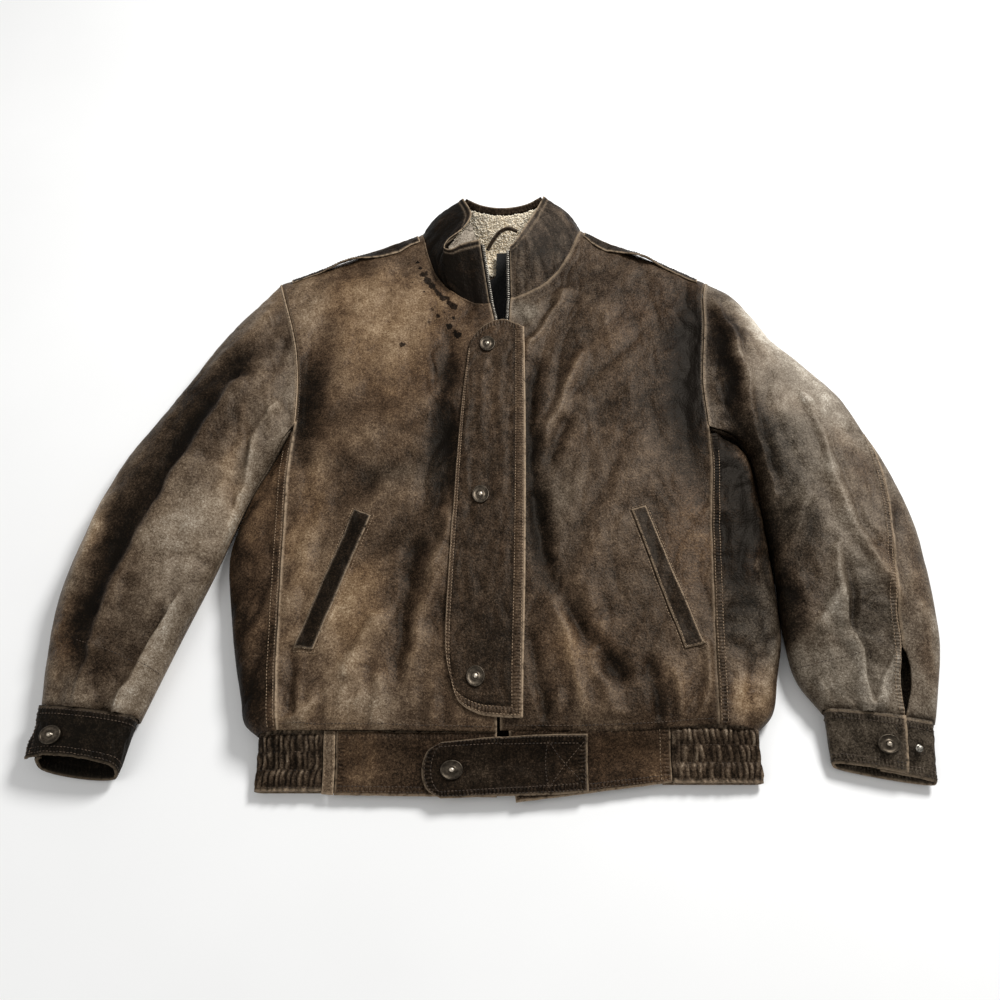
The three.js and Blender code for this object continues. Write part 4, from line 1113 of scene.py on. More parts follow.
CUFF = {
    "right": {"top": ((-447, -292.8), (-348, -303.8)), "mouth": ((-443, -352), (-358, -362)),
              "tall": (36, 33), "start": 6, "lap": 26, "slant": 15},
    "left": {"top": ((429, -307.8), (321, -293.8)), "mouth": ((423, -366), (322, -347)),
             "tall": (28, 17), "start": 66, "lap": 30, "slant": 6},
}


def cuff_surface(side):
    c = CUFF[side]
    (ax, ay), (bx, by) = c["top"]
    (cx, cy), (dx, dy) = c["mouth"]

    def surface(u, v):
        v = mix(-0.05, 1, v)
        a = np.radians(c["start"] + (360 + c["lap"]) * u)
        sunk = (BAND + GAP + 0.5) * u
        ox, oy, ix, iy = mix(ax, cx, v), mix(ay, cy, v), mix(bx, dx, v), mix(by, dy, v)
        width = np.hypot(ix - ox, iy - oy)
        height = mix(c["tall"][0], c["tall"][1], v)
        creased = 0.9 * (crumple(a * 40, v * 55, 15, 70, 1.6, 81) - 0.5) + 0.5 * noise(a * 9, v * 7, 83)
        rows = sum(0.45 * hump((v - at) * 55, 1.4) for at in (0.07, 0.17, 0.83, 0.93))
        relief = creased - rows + 0.5 * (smooth(v, 0, 0.04) - 1) - 0.9 * smooth(v, 0.96, 1)
        tip = 7 * hump(u, 0.03) * smooth(v, 0.3, 1) * (side == "right")
        across = -np.cos(a) * (width / 2 - sunk + relief + tip)
        lift = np.sign(np.sin(a)) * np.abs(np.sin(a)) ** 0.6
        z = height / 2 + lift * (height / 2 - sunk + relief * (np.sin(a) > -0.1))
        x = (ox + ix) / 2 + (ix - ox) / width * across
        y = (oy + iy) / 2 + (iy - oy) / width * across + c["slant"] * (z / height) * v
        return np.stack([x, y, z], -1)
    return surface


def cuff_heart(side):
    c = CUFF[side]

    def inside(at):
        v = np.clip((c["top"][0][1] - at[:, 1]) / 58, 0, 1)
        x = mix(c["top"][0][0] + c["top"][1][0], c["mouth"][0][0] + c["mouth"][1][0], v) / 2
        return np.stack([x - at[:, 0], 0 * x, mix(c["tall"][0], c["tall"][1], v) / 2 - at[:, 2]], -1)
    return inside


def build_cuff(side):
    def marks(at, u, v):
        worn = 0.4 if side == "right" else 0.8
        rubbed = 0.7 * hump((1 - v) * 55, 1.3) + 0.4 * hump(v * 55 - 2.6, 1.0) + hump(u * 300, 2)
        lip = worn * np.clip(rubbed, 0, 1)
        sewn = (1.0 if side == "left" else 0.45) * (hump((v - 0.14) * 55, 3.4) + hump((v - 0.88) * 55, 3.4))
        # The right cuff is darker: partly its own dark leather, partly painted shade for its shadowed mouth.
        shade = (0.12 if side == "right" else 0.43) + 0.1 * noise(at[:, 0] / 17, at[:, 1] / 17, 88)
        warm = 0.12 if side == "right" else -0.15
        return {"shade": shade, "warm": warm, "edge": lip, "high": 0.0, "sewn_x": sewn}
    skin(f"cuff_{side}_leather", cuff_surface(side), (170, 26), TRIMMED, BAND, cuff_heart(side), marks,
         [f"cuff_{side}"], "leather_dark", denser=0.0)


# ---------------------------------------------------------------- waistband

BAND_TOP = {"right": -320.0, "left": -314.0}
BAND_FOOT = {"right": -371.0, "left": -363.0}


def band_top(x, y):
    top = np.where(x < 4, BAND_TOP["right"], BAND_TOP["left"])
    foot = np.where(x < 4, BAND_FOOT["right"], BAND_FOOT["left"])
    return mix(15, 11, np.clip((y - top) / (foot - top), 0, 1)) + 10.5 * hump(top - y, 20)


def border_distance(u, v, size):
    """Distance in millimetres to the nearest border of a piece about that wide and long."""
    return np.minimum(np.minimum(u, 1 - u) * size[0], np.minimum(v, 1 - v) * size[1])


def lying(plan, size, height, relief=None, rounding=1.6):
    """The top of a flat-lying piece with rounded borders, on a height in plan."""
    def surface(u, v):
        p = plan(u, v)
        rounded = 1 - roll(border_distance(u, v, size), rounding * 1.4)
        p[:, 2] = height(p[:, 0], p[:, 1], u) - rounding * rounded
        if relief:
            p[:, 2] += relief(p[:, 0], p[:, 1], u, v)
        return p
    return surface


def lay(name, surface, size, cells, material, thickness, node, slot, shade, warm, wear=0.6, patches=(),
        sewn=0.0, tone=None):
    def marks(at, u, v):
        light, tan = patched(patches, at[:, 0], at[:, 1], shade, warm)
        border = border_distance(u, v, size)
        beside, along_edge = np.minimum(u, 1 - u) * size[0], np.minimum(v, 1 - v) * size[1]
        strip = sewn * smooth(border, 1.6, 3.2) * (1 - smooth(border, 7.5, 9.5))
        if tone:
            light = light + tone(u, v)
        return {"shade": light, "warm": tan, "high": 0.0, "edge": wear * hump(border, 1.4),
                "sewn_x": strip * (beside >= along_edge), "sewn_y": strip * (beside < along_edge)}
    return skin(name, surface, cells, material, thickness, downwards, marks, [node], slot)


def creases(size, angle, stretch, seed, height):
    return lambda x, y, u, v: height * (crumple(x, y, size, angle, stretch, seed) - 0.5)


def quad(a, b, c, d):
    """The plan between four corners: a to b below, d to c above."""
    return patch(line([a, b]), line([d, c]), line([a, d]), line([b, c]))


BAND_PANELS = {
    "waistband_right": (quad((-153.4, -373), (1, -375), (1, -315.5), (-153.4, -315)), (154, 58)),
    "waistband_left": (quad((19, -380), (168.4, -361), (168.4, -311), (12, -313)), (152, 58)),
}
JOIN = (quad((-165.4, -372), (-154, -373), (-154, -315), (-165.4, -315)), (11.4, 57))


def band_relief(x, y, u, v):
    rows = sum(hump((v - at) * 58, 1.6) for at in (0.06, 0.14))
    puckers = 0.35 * noise(x / 3.2, y / 14, 92) * rows
    return 1.3 * (crumple(x, y, 19, 78, 1.9, 91) - 0.5) - 0.4 * rows + puckers


def on_band(x, y, u):
    return band_top(x, y)


def band_surfaces():
    made = {name: lying(plan, size, on_band, band_relief) for name, (plan, size) in BAND_PANELS.items()}
    made["join_strip_right"] = lying(JOIN[0], JOIN[1], on_band, creases(7, 0, 1.4, 95, 0.8), 1.2)
    return made


def build_band():
    surfaces = band_surfaces()
    patches = [(-128, -345, 26, 40, 0.2, 0.1), (120, -340, 30, 22, 0.06, 0.2),
               (155, -352, 14, 20, 0.18, 0.6), (30, -360, 30, 14, -0.06, 0)]
    for name, (_, size) in BAND_PANELS.items():
        lay(f"{name}_leather", surfaces[name], size, (96, 34), DARK, BAND, name, "leather_body",
            0.36, 0.85, 0.75, patches, 0.5)
    lay("join_strip_right_leather", surfaces["join_strip_right"], JOIN[1], (16, 40), TRIMMED, BAND,
        "join_strip_right", "leather_tan", 0.66, 0.6, 0.8)
    back = quad((-149.4, -368), (159.4, -360), (159.4, -315), (-149.4, -321))

    def under(u, v):
        p = back(u, v)
        p[:, 2] = BAND
        return p
    skin("waistband_back_leather", under, (120, 20), DARK, BAND, downwards, flat_marks(0.32),
         ["waistband_back"], "leather_body")


ELASTIC = {"right": (-166, -230, -150), "left": (169, 256, 160)}


def puckers(x, y, v):
    """Upright puckers of gathered leather, from 0 in a crease to 1; they shift between the rows."""
    row = np.floor((v - 0.06) / 0.295)
    shift = 1.7 * row + 1.8 * noise(x / 9 + 3 * row, y / 14, 101) + 1.2 * np.sin(9 * v)
    uneven = 0.75 + 0.7 * noise(x / 7 + 5 * row, y / 18, 103)
    return np.abs(np.sin((x + shift) * math.pi / 5.6)) ** 0.7 * uneven


def elastic_surface(side):
    front_x, edge_x, back_x = ELASTIC[side]
    inwards = -SIGN[side]
    radius = 8

    def surface(u, v):
        y = mix(BAND_TOP[side] + 5, BAND_FOOT[side] + 2, v)
        top = band_top(front_x + 0 * y, y)
        bulge = 2 * np.sin(math.pi * np.clip(u / 0.5, 0, 1))
        a = np.clip(u / 0.5, 0, 1) * math.pi / 2
        across = np.sin(a) ** 0.8
        x = mix(front_x, edge_x, across)
        rows = sum(hump((v - at) * 50, 2.0) for at in (0.06, 0.355, 0.65, 0.945))
        lines = 3.2 * (puckers(x, y, v) - 0.5) * (1.1 - 0.8 * rows) - 1.8 * rows
        z = 7 + (top - 7) * np.cos(a).clip(0) ** 0.35 + bulge * (1 - across)
        z = z + lines * smooth(1 - across, 0.0, 0.12) * smooth(u, 0, 0.012)
        b = np.clip((u - 0.5) / 0.25, 0, 1) * math.pi / 2
        flat = np.clip((u - 0.75) / 0.25, 0, 1)
        x_low = edge_x + inwards * radius * (1 - np.cos(b)) + (back_x - edge_x - inwards * radius) * flat
        low = 7 * (1 - np.sin(b))
        x_top = x + SIGN[side] * 0.4 * lines * smooth(across, 0.6, 1)
        return np.stack([np.where(u < 0.5, x_top, x_low), y, np.where(u < 0.5, z, low)], -1)
    return surface


def build_elastic(side):
    front_x, edge_x, _ = ELASTIC[side]

    def marks(at, u, v):
        x, y = at[:, 0], at[:, 1]
        ridge = puckers(x, y, v)
        # The puckers' ridges are painted lighter and their creases darker: painted highlight and painted
        # shade.
        shade = (0.42 if side == "right" else 0.48) + 0.2 * (ridge - 0.6)
        return {"shade": shade, "warm": 0.5, "edge": 0.5 * hump(np.minimum(v, 1 - v) * 48, 1.5),
                "high": 1.3 * (ridge - 0.6)}
    skin(f"elastic_{side}_leather", elastic_surface(side), (220, 24), TRIMMED, BAND - 0.8,
         to_point(mix(front_x, edge_x, 0.4), 6), marks, [f"elastic_{side}"], "leather_dark", denser=0.0)


TAB_PLAN = patch(line([(-52, -377), (0, -375), (60, -373), (88, -371)]),
                 line([(-52, -327), (0, -322), (60, -319), (88, -319)]),
                 line([(-52, -377), (-66, -368), (-71, -352), (-66, -335), (-52, -327)]),
                 line([(88, -371), (88, -319)]))
TAB_SIZE = (150, 52)


def tab_top(x, y, u=0):
    return band_top(x, y) + LIFT + BAND


def tab_relief(x, y, u, v):
    rows = sum(hump((v - at) * 52, 1.5) for at in (0.07, 0.17, 0.83, 0.93)) * 0.35
    return 1.2 * (crumple(x, y, 17, 20, 1.8, 111) - 0.5) - rows - 0.5 * hump(x - 52, 1.2)


TAB = lying(TAB_PLAN, TAB_SIZE, tab_top, tab_relief)


# ---------------------------------------------------------------- storm flap, welts, straps

FLAP_PLAN = patch(
    line([(-43, -272), (-36, -290), (-17, -302), (5, -305), (26, -306)]),
    line([(-33, 140), (-28, 160), (-12, 179), (8, 186), (33, 174)]),
    line([(-43, -272), (-50, -239), (-49, -138), (-46, -69), (-44, -16), (-39, 71), (-33, 140)]),
    line([(26, -306), (27, -264), (30, -165), (33, 34), (33, 174)]))
FLAP_SIZE = (74, 450)


def flap_base(x, y):
    return np.maximum(body_top("right", np.minimum(x, 0), y), body_top("left", np.maximum(x, 5), y))


def flap_top(x, y, u=0):
    return flap_base(x, y) + LIFT + BAND


def flap_relief(x, y, u, v):
    west, east, foot = u * FLAP_SIZE[0], (1 - u) * FLAP_SIZE[0], v * FLAP_SIZE[1]
    nearest = np.minimum(np.minimum(west, east), foot)
    rows = hump(nearest - 2.6, 1.2) + hump(nearest - 9, 1.3)
    puckers = 0.4 * noise(x / 9, y / 3.4, 121) * hump(nearest - 6, 5)
    band_edge = 0.7 * (1 - smooth(east, 8.4, 9.6)) + 0.35 * (1 - smooth(west, 9.6, 10.6))
    inner = smooth(nearest, 6, 14)
    return (band_edge - 0.45 * rows + puckers + 0.5 * folded(FLAP_FOLDS, x, y) * inner
            + 1.1 * (crumple(x, y, 15, 84, 2.2, 123) - 0.5) * inner)


FLAP = lying(FLAP_PLAN, FLAP_SIZE, flap_top, flap_relief)

WELT = {
    "right": quad((-202, -234), (-182, -236), (-134, -84), (-153, -76)),
    "left": quad((208, -231), (188, -235), (145, -76), (161, -71)),
}
WELT_SIZE = (20, 162)


def welt_surface(side):
    def height(x, y, u):
        return body_top(side, x, y) + LIFT + TRIM
    return lying(WELT[side], WELT_SIZE, height, creases(9, 100, 1.8, 131, 0.5), 0.8)


STRAP = {
    "right": (((-96, 316), (-136, 292), (-176, 284), (-214, 268), (-258, 246)),
              ((-100, 333), (-136, 315), (-176, 296), (-214, 277), (-260, 254)), 0.56),
    "left": (((109, 326), (130, 304), (166, 292), (190, 284), (222, 264), (252, 246)),
             ((112, 340), (134, 323), (168, 307), (192, 295), (224, 277), (254, 256)), 0.5),
}
STRAP_SIZE = (182, 14)


def strap_surface(side):
    front, back, bulge = STRAP[side]
    plan = patch(line(front), line(back), line([front[0], back[0]]), line([front[-1], back[-1]]))

    def height(x, y, u):
        return body_top(side, x, y) + 0.3 + TRIM + 0.6

    def part(u, v):
        return mix(0.01, 0.97, u), v
    def arch(x, y, u, v):
        return 8 * hump(u - bulge, 0.13) * (1 - 0.72 * v) + 0.9 * (crumple(x, y, 11, 10, 2.0, 141) - 0.5)
    whole = lying(plan, STRAP_SIZE, height, arch, 1.0)
    return lambda u, v: whole(*part(u, v))


def flap_tone_and_crease_shade(u, v):
    """The folded strip round the storm flap is paler than the panel inside it, and the crease just inside the
    strip is painted darker: painted shade.
    """
    inner = np.minimum(np.minimum(u, 1 - u) * FLAP_SIZE[0], v * FLAP_SIZE[1])
    return 0.12 * (1 - smooth(inner, 8.5, 10.5)) - 0.1 * hump(inner - 10.5, 1.6)


def build_overlays():
    lay("waist_tab_leather", TAB, TAB_SIZE, (84, 34), TRIMMED, BAND, "waist_tab", "leather_dark",
        0.22, 0.6, 0.6, [(-20, -350, 30, 18, 0.05, -0.2), (70, -345, 14, 22, 0.08, 0.2)], 0.9)
    lay("storm_flap_leather", FLAP, FLAP_SIZE, (48, 210), TRIMMED, BAND, "storm_flap", "leather_body",
        0.38, 0.75, 0.95,
        [(-5, 120, 20, 60, 0.08, 0.0), (0, -230, 30, 70, -0.1, -0.1), (-10, 165, 24, 12, 0.06, 0.2)],
        0.7, flap_tone_and_crease_shade)
    for side in SIDES:
        light = 0.2 if side == "right" else 0.28
        lay(f"pocket_welt_{side}_leather", welt_surface(side), WELT_SIZE, (14, 80), DARK, TRIM,
            f"pocket_welt_{side}", "leather_dark", light, 0.6, 0.7)
        lay(f"shoulder_strap_{side}_leather", strap_surface(side), STRAP_SIZE, (96, 12), TRIMMED, 2.0,
            f"shoulder_strap_{side}", "leather_body", 0.2, 0.6, 0.9)


# ---------------------------------------------------------------- collar

COLLAR_TOP = {
    "right": [(-21, 293, 60), (-42, 286, 60), (-57, 279, 58), (-65, 283, 57), (-61, 294, 58), (-41, 315, 59),
              (-32, 340, 56), (-43, 376, 48)],
    "left": [(16, 282, 60), (21, 288, 60), (35, 317, 59), (48, 346, 55), (60, 380, 48)],
}
COLLAR_BACK_TOP = [(-42, 376, 47), (-20, 367, 43), (8, 364, 41), (38, 369, 43), (59, 380, 47)]
COLLAR_HEART = np.array([6, 318, 20.0])


def collar_surface(side):
    plan, rim = line(NECK_SEAM[side]), line(COLLAR_TOP[side])
    seed = 151 if side == "right" else 161

    def surface(u, v):
        u = mix(0.004, 1.0, u)
        foot = plan(u)
        foot[:, 2] = body_top(side, foot[:, 0], foot[:, 1])
        p = mix(foot, rim(u), v[:, None])
        out = (p - COLLAR_HEART) * [1, 1, 0]
        out /= np.linalg.norm(out, axis=1, keepdims=True)
        swell = 7 * np.sin(math.pi * v) * smooth(u, 0.1, 0.4)
        s, t = u * 190, v * 62
        large, small = crumple(s, t, 26, 62, 1.7, seed), crumple(s, t, 11, 50, 1.5, seed + 3)
        soft = 2.2 * (large - 0.5) + 0.8 * (small - 0.5)
        hem = 0.5 * (1 - smooth((1 - v) * 62, 5.4, 6.4))
        free = smooth(u, 0.01, 0.08) * smooth(v, 0.0, 0.12)
        p += out * (swell + free * soft * smooth(1 - v, 0, 0.12) + hem * free)[:, None]
        return p
    return surface


def back_foot(t):
    p = line(BACK_NECK)(t)
    p[:, 2] = 2 + back_height(p[:, 0], p[:, 1])
    return p


def collar_back_surface(u, v):
    p = mix(back_foot(mix(0.05, 0.95, u)), line(COLLAR_BACK_TOP)(u), v[:, None])
    return p + [0, 1.5, 0.6]


def nap_surface(u, v):
    bend = 0.35
    across = mix(0.14, 0.86, u)
    foot = collar_back_surface(across, 0 * v + 0.12)
    start = np.stack([mix(-34, 44, u), 0 * u + 284, 0 * u + 2.6], -1)
    low = mix(start, foot + [0, -3.4, 3], np.clip(v / bend, 0, 1)[:, None])
    climb = mix(0.12, 0.83, np.clip((v - bend) / (1 - bend), 0, 1))
    high = collar_back_surface(across, climb) + [0, -3.4, 3]
    p = np.where((v < bend)[:, None], low, high)
    fluff = 0.8 * noise(p[:, 0] / 5, p[:, 1] / 5, 171) + 0.3 * noise(p[:, 0] / 2.2, p[:, 1] / 2.2, 172)
    return p + fluff[:, None] * np.array([0, -0.5, 0.8])


def backwards(at):
    return np.array([0, 0.6, -1.0])


def inwards_up(at):
    return np.array([0, -0.6, 1.0])


def build_collar():
    for side in SIDES:
        # The wearer's right collar is near black: partly its own dark leather, partly painted shade.
        shade, warm = (0.08, 0.8) if side == "right" else (0.33, 0.45)

        def marks(at, u, v, side=side, shade=shade, warm=warm):
            s, t = u * 190, v * 62
            light = shade + 0.12 * noise(s / 24, t / 24, 155) + 0.05 * noise(s / 9, t / 9, 156)
            tan = warm + 0.3 * noise(s / 30, t / 30, 157)
            if side == "left":
                light = light + 0.2 * hump(s - 22, 18) * (1 - v) - 0.08 * hump(s - 75, 26) * (1 - v)
            rim = 0.7 * hump((1 - v) * 62, 1.2) + 0.7 * hump(v * 62, 1.4) * (side == "left")
            rim = rim + 0.35 * hump((1 - v) * 62 - 6, 0.9) + 0.4 * hump(s, 1.6)
            soft = crumple(s, t, 26, 62, 1.7, 151 if side == "right" else 161) - 0.5
            # The high mark paints the collar's puffs lighter and creases darker: painted highlight and
            # painted shade.
            return {"shade": light, "warm": np.clip(tan, 0, 1), "edge": np.clip(rim, 0, 1),
                    "high": 0.5 * soft}
        skin(f"collar_{side}_leather", collar_surface(side), (96, 44), TRIMMED, TRIM,
             lambda at: COLLAR_HEART - at, marks, [f"collar_{side}"], "leather_dark")
    skin("collar_back_leather", lambda u, v: collar_back_surface(mix(0.03, 0.97, u), mix(0.03, 1, v)),
         (48, 24), DARK, LEATHER, inwards_up, flat_marks(0.34), ["collar_back"], "leather_dark")

    def strip(u, v):
        ribs = 0.5 * np.abs(np.sin(u * math.pi * 24))
        p = collar_back_surface(mix(0.06, 0.94, u), mix(0.86, 1, v))
        return p + np.stack([0 * u, -3.2 - 0.5 * ribs, 3 + 0.8 * ribs], -1)
    skin("collar_edge_strip_leather", strip, (144, 6), DARK, TRIM, backwards,
         lambda at, u, v: {"shade": 0.36, "warm": 0.5, "edge": 0.5 * hump(v - 1, 0.12), "high": 0.0},
         ["collar_edge_strip"], "leather_dark", denser=0.0)
    skin("neck_fleece_pile", nap_surface, (72, 72), FLEECE, 2.6, backwards, flat_marks(0.5),
         ["neck_fleece"], "fleece", denser=0.0)
    low = line([(-59, 283, 47), (-41, 293, 41), (-22, 302, 36)])
    high = line([(-60, 289, 51), (-48, 309, 49), (-33, 334, 46)])

    def facing(u, v):
        p = mix(low(u), high(u), v[:, None])
        crinkled = 1.6 * (crumple(p[:, 0], p[:, 1], 8, 50, 1.8, 181) - 0.5)
        return p + crinkled[:, None] * np.array([0.4, -0.5, 1])
    skin("collar_facing_leather", facing, (40, 30), FACING, TRIM,
         lambda at: np.array([-0.4, 0.5, -1.0]), flat_marks(0.58, 0.0), ["collar_facing"], "leather_facing")
    path = line([(6, 206, 2.8), (6, 262, 2.8), (6, 278, 5.5), (6, 290, 9.5), (7, 312, 15)])

    def label(u, v):
        p = path(v)
        half = mix(17, 7, smooth(v, 0.62, 0.7))
        p[:, 0] += mix(-half, half, u)
        p[:, 2] += 0.8 + 0.25 * noise(p[:, 0] / 9, p[:, 1] / 14, 191)
        return p
    skin("neck_label_cloth", label, (20, 60), CLOTH, 0.8, downwards, flat_marks(0.5), ["neck_label"],
         "woven_cloth")
    route = line([(-12, 312, 21), (-5, 322, 28), (5, 331, 35), (15, 334, 37), (26, 331, 35)])

    def loop(u, v):
        p = route(v)
        ahead, behind = route(v + 0.01), route(v - 0.01)
        way = ahead - behind
        side_way = np.cross(way, [0, -0.6, 0.8])
        side_way /= np.linalg.norm(side_way, axis=1, keepdims=True)
        domed = np.array([0, -0.5, 0.7]) * np.sin(math.pi * u)[:, None]
        return p + side_way * ((u - 0.5) * 5.2)[:, None] + domed

    def marks(at, u, v):
        return {"shade": 0.34, "warm": 0.4, "edge": 0.5 * hump(np.minimum(u, 1 - u), 0.12), "high": 0.0}
    skin("hanger_loop_leather", loop, (8, 48), DARK, 1.6, backwards, marks, ["hanger_loop"],
         "leather_dark", denser=0.0)


# ---------------------------------------------------------------- zip

TAPE_UNDER, TAPE_SHOWS, TAPE_THICK = 3.5, 3.4, 1.2


def zip_path(side):
    edge, top = line(ZIP_EDGE[side]), np.array(COLLAR_TOP[side][0], float)

    def at(t):
        p = edge(np.clip(t / 0.8, 0, 1))
        p[:, 2] = body_top(side, p[:, 0], p[:, 1])
        return mix(p, top, np.clip((t - 0.8) / 0.2, 0, 1)[:, None])
    return at


def tape_surface(side):
    path, facing = zip_path(side), zip_path("left" if side == "right" else "right")

    def surface(u, v):
        v = mix(0.06, 0.99, v)
        p = path(v)
        free = np.abs(facing(v)[:, 0] - p[:, 0]) / 2 - 0.5
        p[:, 0] += -SIGN[side] * mix(-TAPE_UNDER, np.minimum(TAPE_SHOWS, free), u)
        p[:, 2] -= LEATHER + 1.6
        return p
    return surface


def build_zip():
    for side in SIDES:
        surface = tape_surface(side)
        skin(f"zip_tape_{side}_cloth", surface, (6, 200), CLOTH, TAPE_THICK, downwards, flat_marks(0.4),
             [f"zip_tape_{side}"], "woven_cloth")
        v = np.linspace(0.02, 0.995, 400)
        teeth = surface(0 * v + 0.92, v) + [0, 0, 1.3]
        set_in_rows(f"zip_teeth_{side}", [teeth], 2.4, BLOCK, (1.3, 3.4, 1.8), STEEL, "zip_metal")
    slider = frame["nodes"]["zip_slider"]
    slider.data.materials.clear()
    slider.data.materials.append(STEEL)


# ---------------------------------------------------------------- snap caps and stud

CAP_PROFILE = [(0, 0), (0.95, 0), (1, 0.2), (1, 0.44), (0.98, 0.6), (0.93, 0.7), (0.88, 0.68), (0.84, 0.54),
               (0.8, 0.42), (0.5, 0.4), (0.42, 0.44), (0.37, 0.56), (0.32, 0.56), (0.27, 0.46), (0.24, 0.46),
               (0.23, 0.74), (0.18, 0.98), (0.1, 1.08), (0, 1.12)]
POST_PROFILE = [(0, 0), (3.6, 0), (3.6, 0.7), (3.3, 0.9), (2, 1.3), (2, 2), (2.6, 2.6), (2.6, 3.1),
                (1.8, 3.8), (0, 4.3)]


def turned(name, profile, size, height, spot, reach, material, slot, node):
    """A round or oval piece seated square to a height, just clear of it all round."""
    x, y = spot

    def rise(dx, dy):
        return float(height(np.array([x + dx]), np.array([y + dy]))[0])
    slope = Vector(((rise(-reach, 0) - rise(reach, 0)) / (2 * reach),
                    (rise(0, -reach) - rise(0, reach)) / (2 * reach), 1)).normalized()
    seat = Vector((x, y, rise(0, 0)))
    turns = [2 * math.pi * k / 12 for k in range(12)]
    reached = [(reach * math.cos(t), reach * math.sin(t)) for t in turns]
    proud = max((Vector((x + dx, y + dy, rise(dx, dy))) - seat).dot(slope) for dx, dy in reached)
    seat += slope * (0.4 * max(0, proud))
    bm = bmesh.new()
    verts = [bm.verts.new((r, 0, h)) for r, h in profile]
    edges = [bm.edges.new(pair) for pair in zip(verts, verts[1:])]
    bmesh.ops.spin(bm, geom=verts + edges, axis=(0, 0, 1), cent=(0, 0, 0), angle=2 * math.pi, steps=48,
                   use_merge=True, use_duplicate=False)
    bmesh.ops.remove_doubles(bm, verts=bm.verts, dist=1e-4)
    bmesh.ops.recalc_face_normals(bm, faces=bm.faces)
    # The ball mask picks the middle of a cap or stud, which the metal paints brighter as a painted highlight.
    ball_highlight = bm.verts.layers.float.new("ball_highlight")
    for vert in bm.verts:
        vert[ball_highlight] = float(math.hypot(vert.co.x, vert.co.y) < 0.24)
    bmesh.ops.scale(bm, vec=size, verts=bm.verts)
    turn = Vector((0, 0, 1)).rotation_difference(slope).to_matrix().to_4x4()
    bmesh.ops.transform(bm, matrix=Matrix.Scale(MM, 4) @ Matrix.Translation(seat) @ turn, verts=bm.verts)
    mesh = bpy.data.meshes.new(name)
    bm.to_mesh(mesh)
    bm.free()
    mesh.shade_smooth()
    mesh.materials.append(material)
    obj = bpy.data.objects.new(name, mesh)
    return finish_piece(obj, [node], slot)


def cuff_top(side, depth=0):
    c = CUFF[side]
    top, mouth, slant = c["top"], c["mouth"], c["slant"]

    def height(x, y):
        v = np.clip((top[0][1] - y + slant * 0.5) / (top[0][1] - mouth[0][1] + slant * 0.5), 0, 1)
        ends = [mix(top[i][0], mouth[i][0], v) for i in (0, 1)]
        across = np.clip(np.abs(2 * x - ends[0] - ends[1]) / np.abs(ends[0] - ends[1]), 0, 0.98)
        tall = mix(c["tall"][0], c["tall"][1], v)
        return tall / 2 + (tall / 2 - depth) * np.sqrt(1 - across * across) ** 0.6
    return height


SNAPS = [
    ("snap_flap_top", (-11, 147), flap_top, False),
    ("snap_flap_middle", (-17, -59), flap_top, False),
    ("snap_flap_bottom", (-20, -265), flap_top, False),
    ("snap_waist", (-42, -351), tab_top, True),
    ("snap_cuff_right", (-424, -322), cuff_top("right"), True),
    ("snap_cuff_left", (376, -328), cuff_top("left"), True),
]


def build_snaps():
    for node, spot, height, along_x in SNAPS:
        size = (11, 9.2, 3.6) if along_x else (9.2, 11, 3.6)
        turned(f"{node}_cap", CAP_PROFILE, size, height, spot, 9, BRONZE, "bronze", node)
    turned("stud_cuff_left_post", POST_PROFILE, (1, 1, 1), cuff_top("left", 3), (406, -331), 4, STEEL,
           "zip_metal", "stud_cuff_left")


# ---------------------------------------------------------------- stitches


def across(surface, u, v_from=0.0, v_to=1.0, count=240):
    """The run on a surface at one u, along v, a touch above it."""
    v = np.linspace(v_from, v_to, count)
    return surface(0 * v + u, v) + [0, 0, 0.15]


def level(surface, v, u_from=0.0, u_to=1.0, count=240):
    u = np.linspace(u_from, u_to, count)
    return surface(u, 0 * u + v) + [0, 0, 0.15]


def outside(surface, inside, rows):
    """Runs given as (u, v) arrays, moved out square to a surface."""
    made = []
    for u, v in rows:
        at = surface(u, v)
        du = surface(np.clip(u + 1e-3, 0, 1), v) - surface(np.clip(u - 1e-3, 0, 1), v)
        dv = surface(u, np.clip(v + 1e-3, 0, 1)) - surface(u, np.clip(v - 1e-3, 0, 1))
        n = np.cross(du, dv)
        n /= np.maximum(np.linalg.norm(n, axis=1, keepdims=True), 1e-9)
        n *= -np.sign((n * inside(at)).sum(1))[:, None]
        made.append(at + 0.2 * n)
    return made


def framed(surface, size, distance):
    """Four runs inside the borders of a piece."""
    du, dv = distance / size[0], distance / size[1]
    return [across(surface, du, dv, 1 - dv), across(surface, 1 - du, dv, 1 - dv),
            level(surface, dv, du, 1 - du), level(surface, 1 - dv, du, 1 - du)]


def body_row(side, points, distance):
    run = inset(walk(line(points), 160), distance)
    return laid_on(run, lambda x, y: body_top(side, x, y), 0.5)


def side_row(side, distance):
    v = np.linspace(0.01, 0.93, 220)
    t = mix(0.002, 0.965, v)
    reach = np.linalg.norm(line(BODY_EDGE[side])(t) - line(SIDE_SEAM[side])(t), axis=1)
    u = 0.6 * 2 / math.pi * np.arcsin(np.clip(distance / reach, 0, 1) ** (1 / 0.85))
    keep = distance / reach < 0.8
    u, v = (u / 0.995)[keep], v[keep]
    return side_surface(side)(u, v) + [0, 0, 0.15]


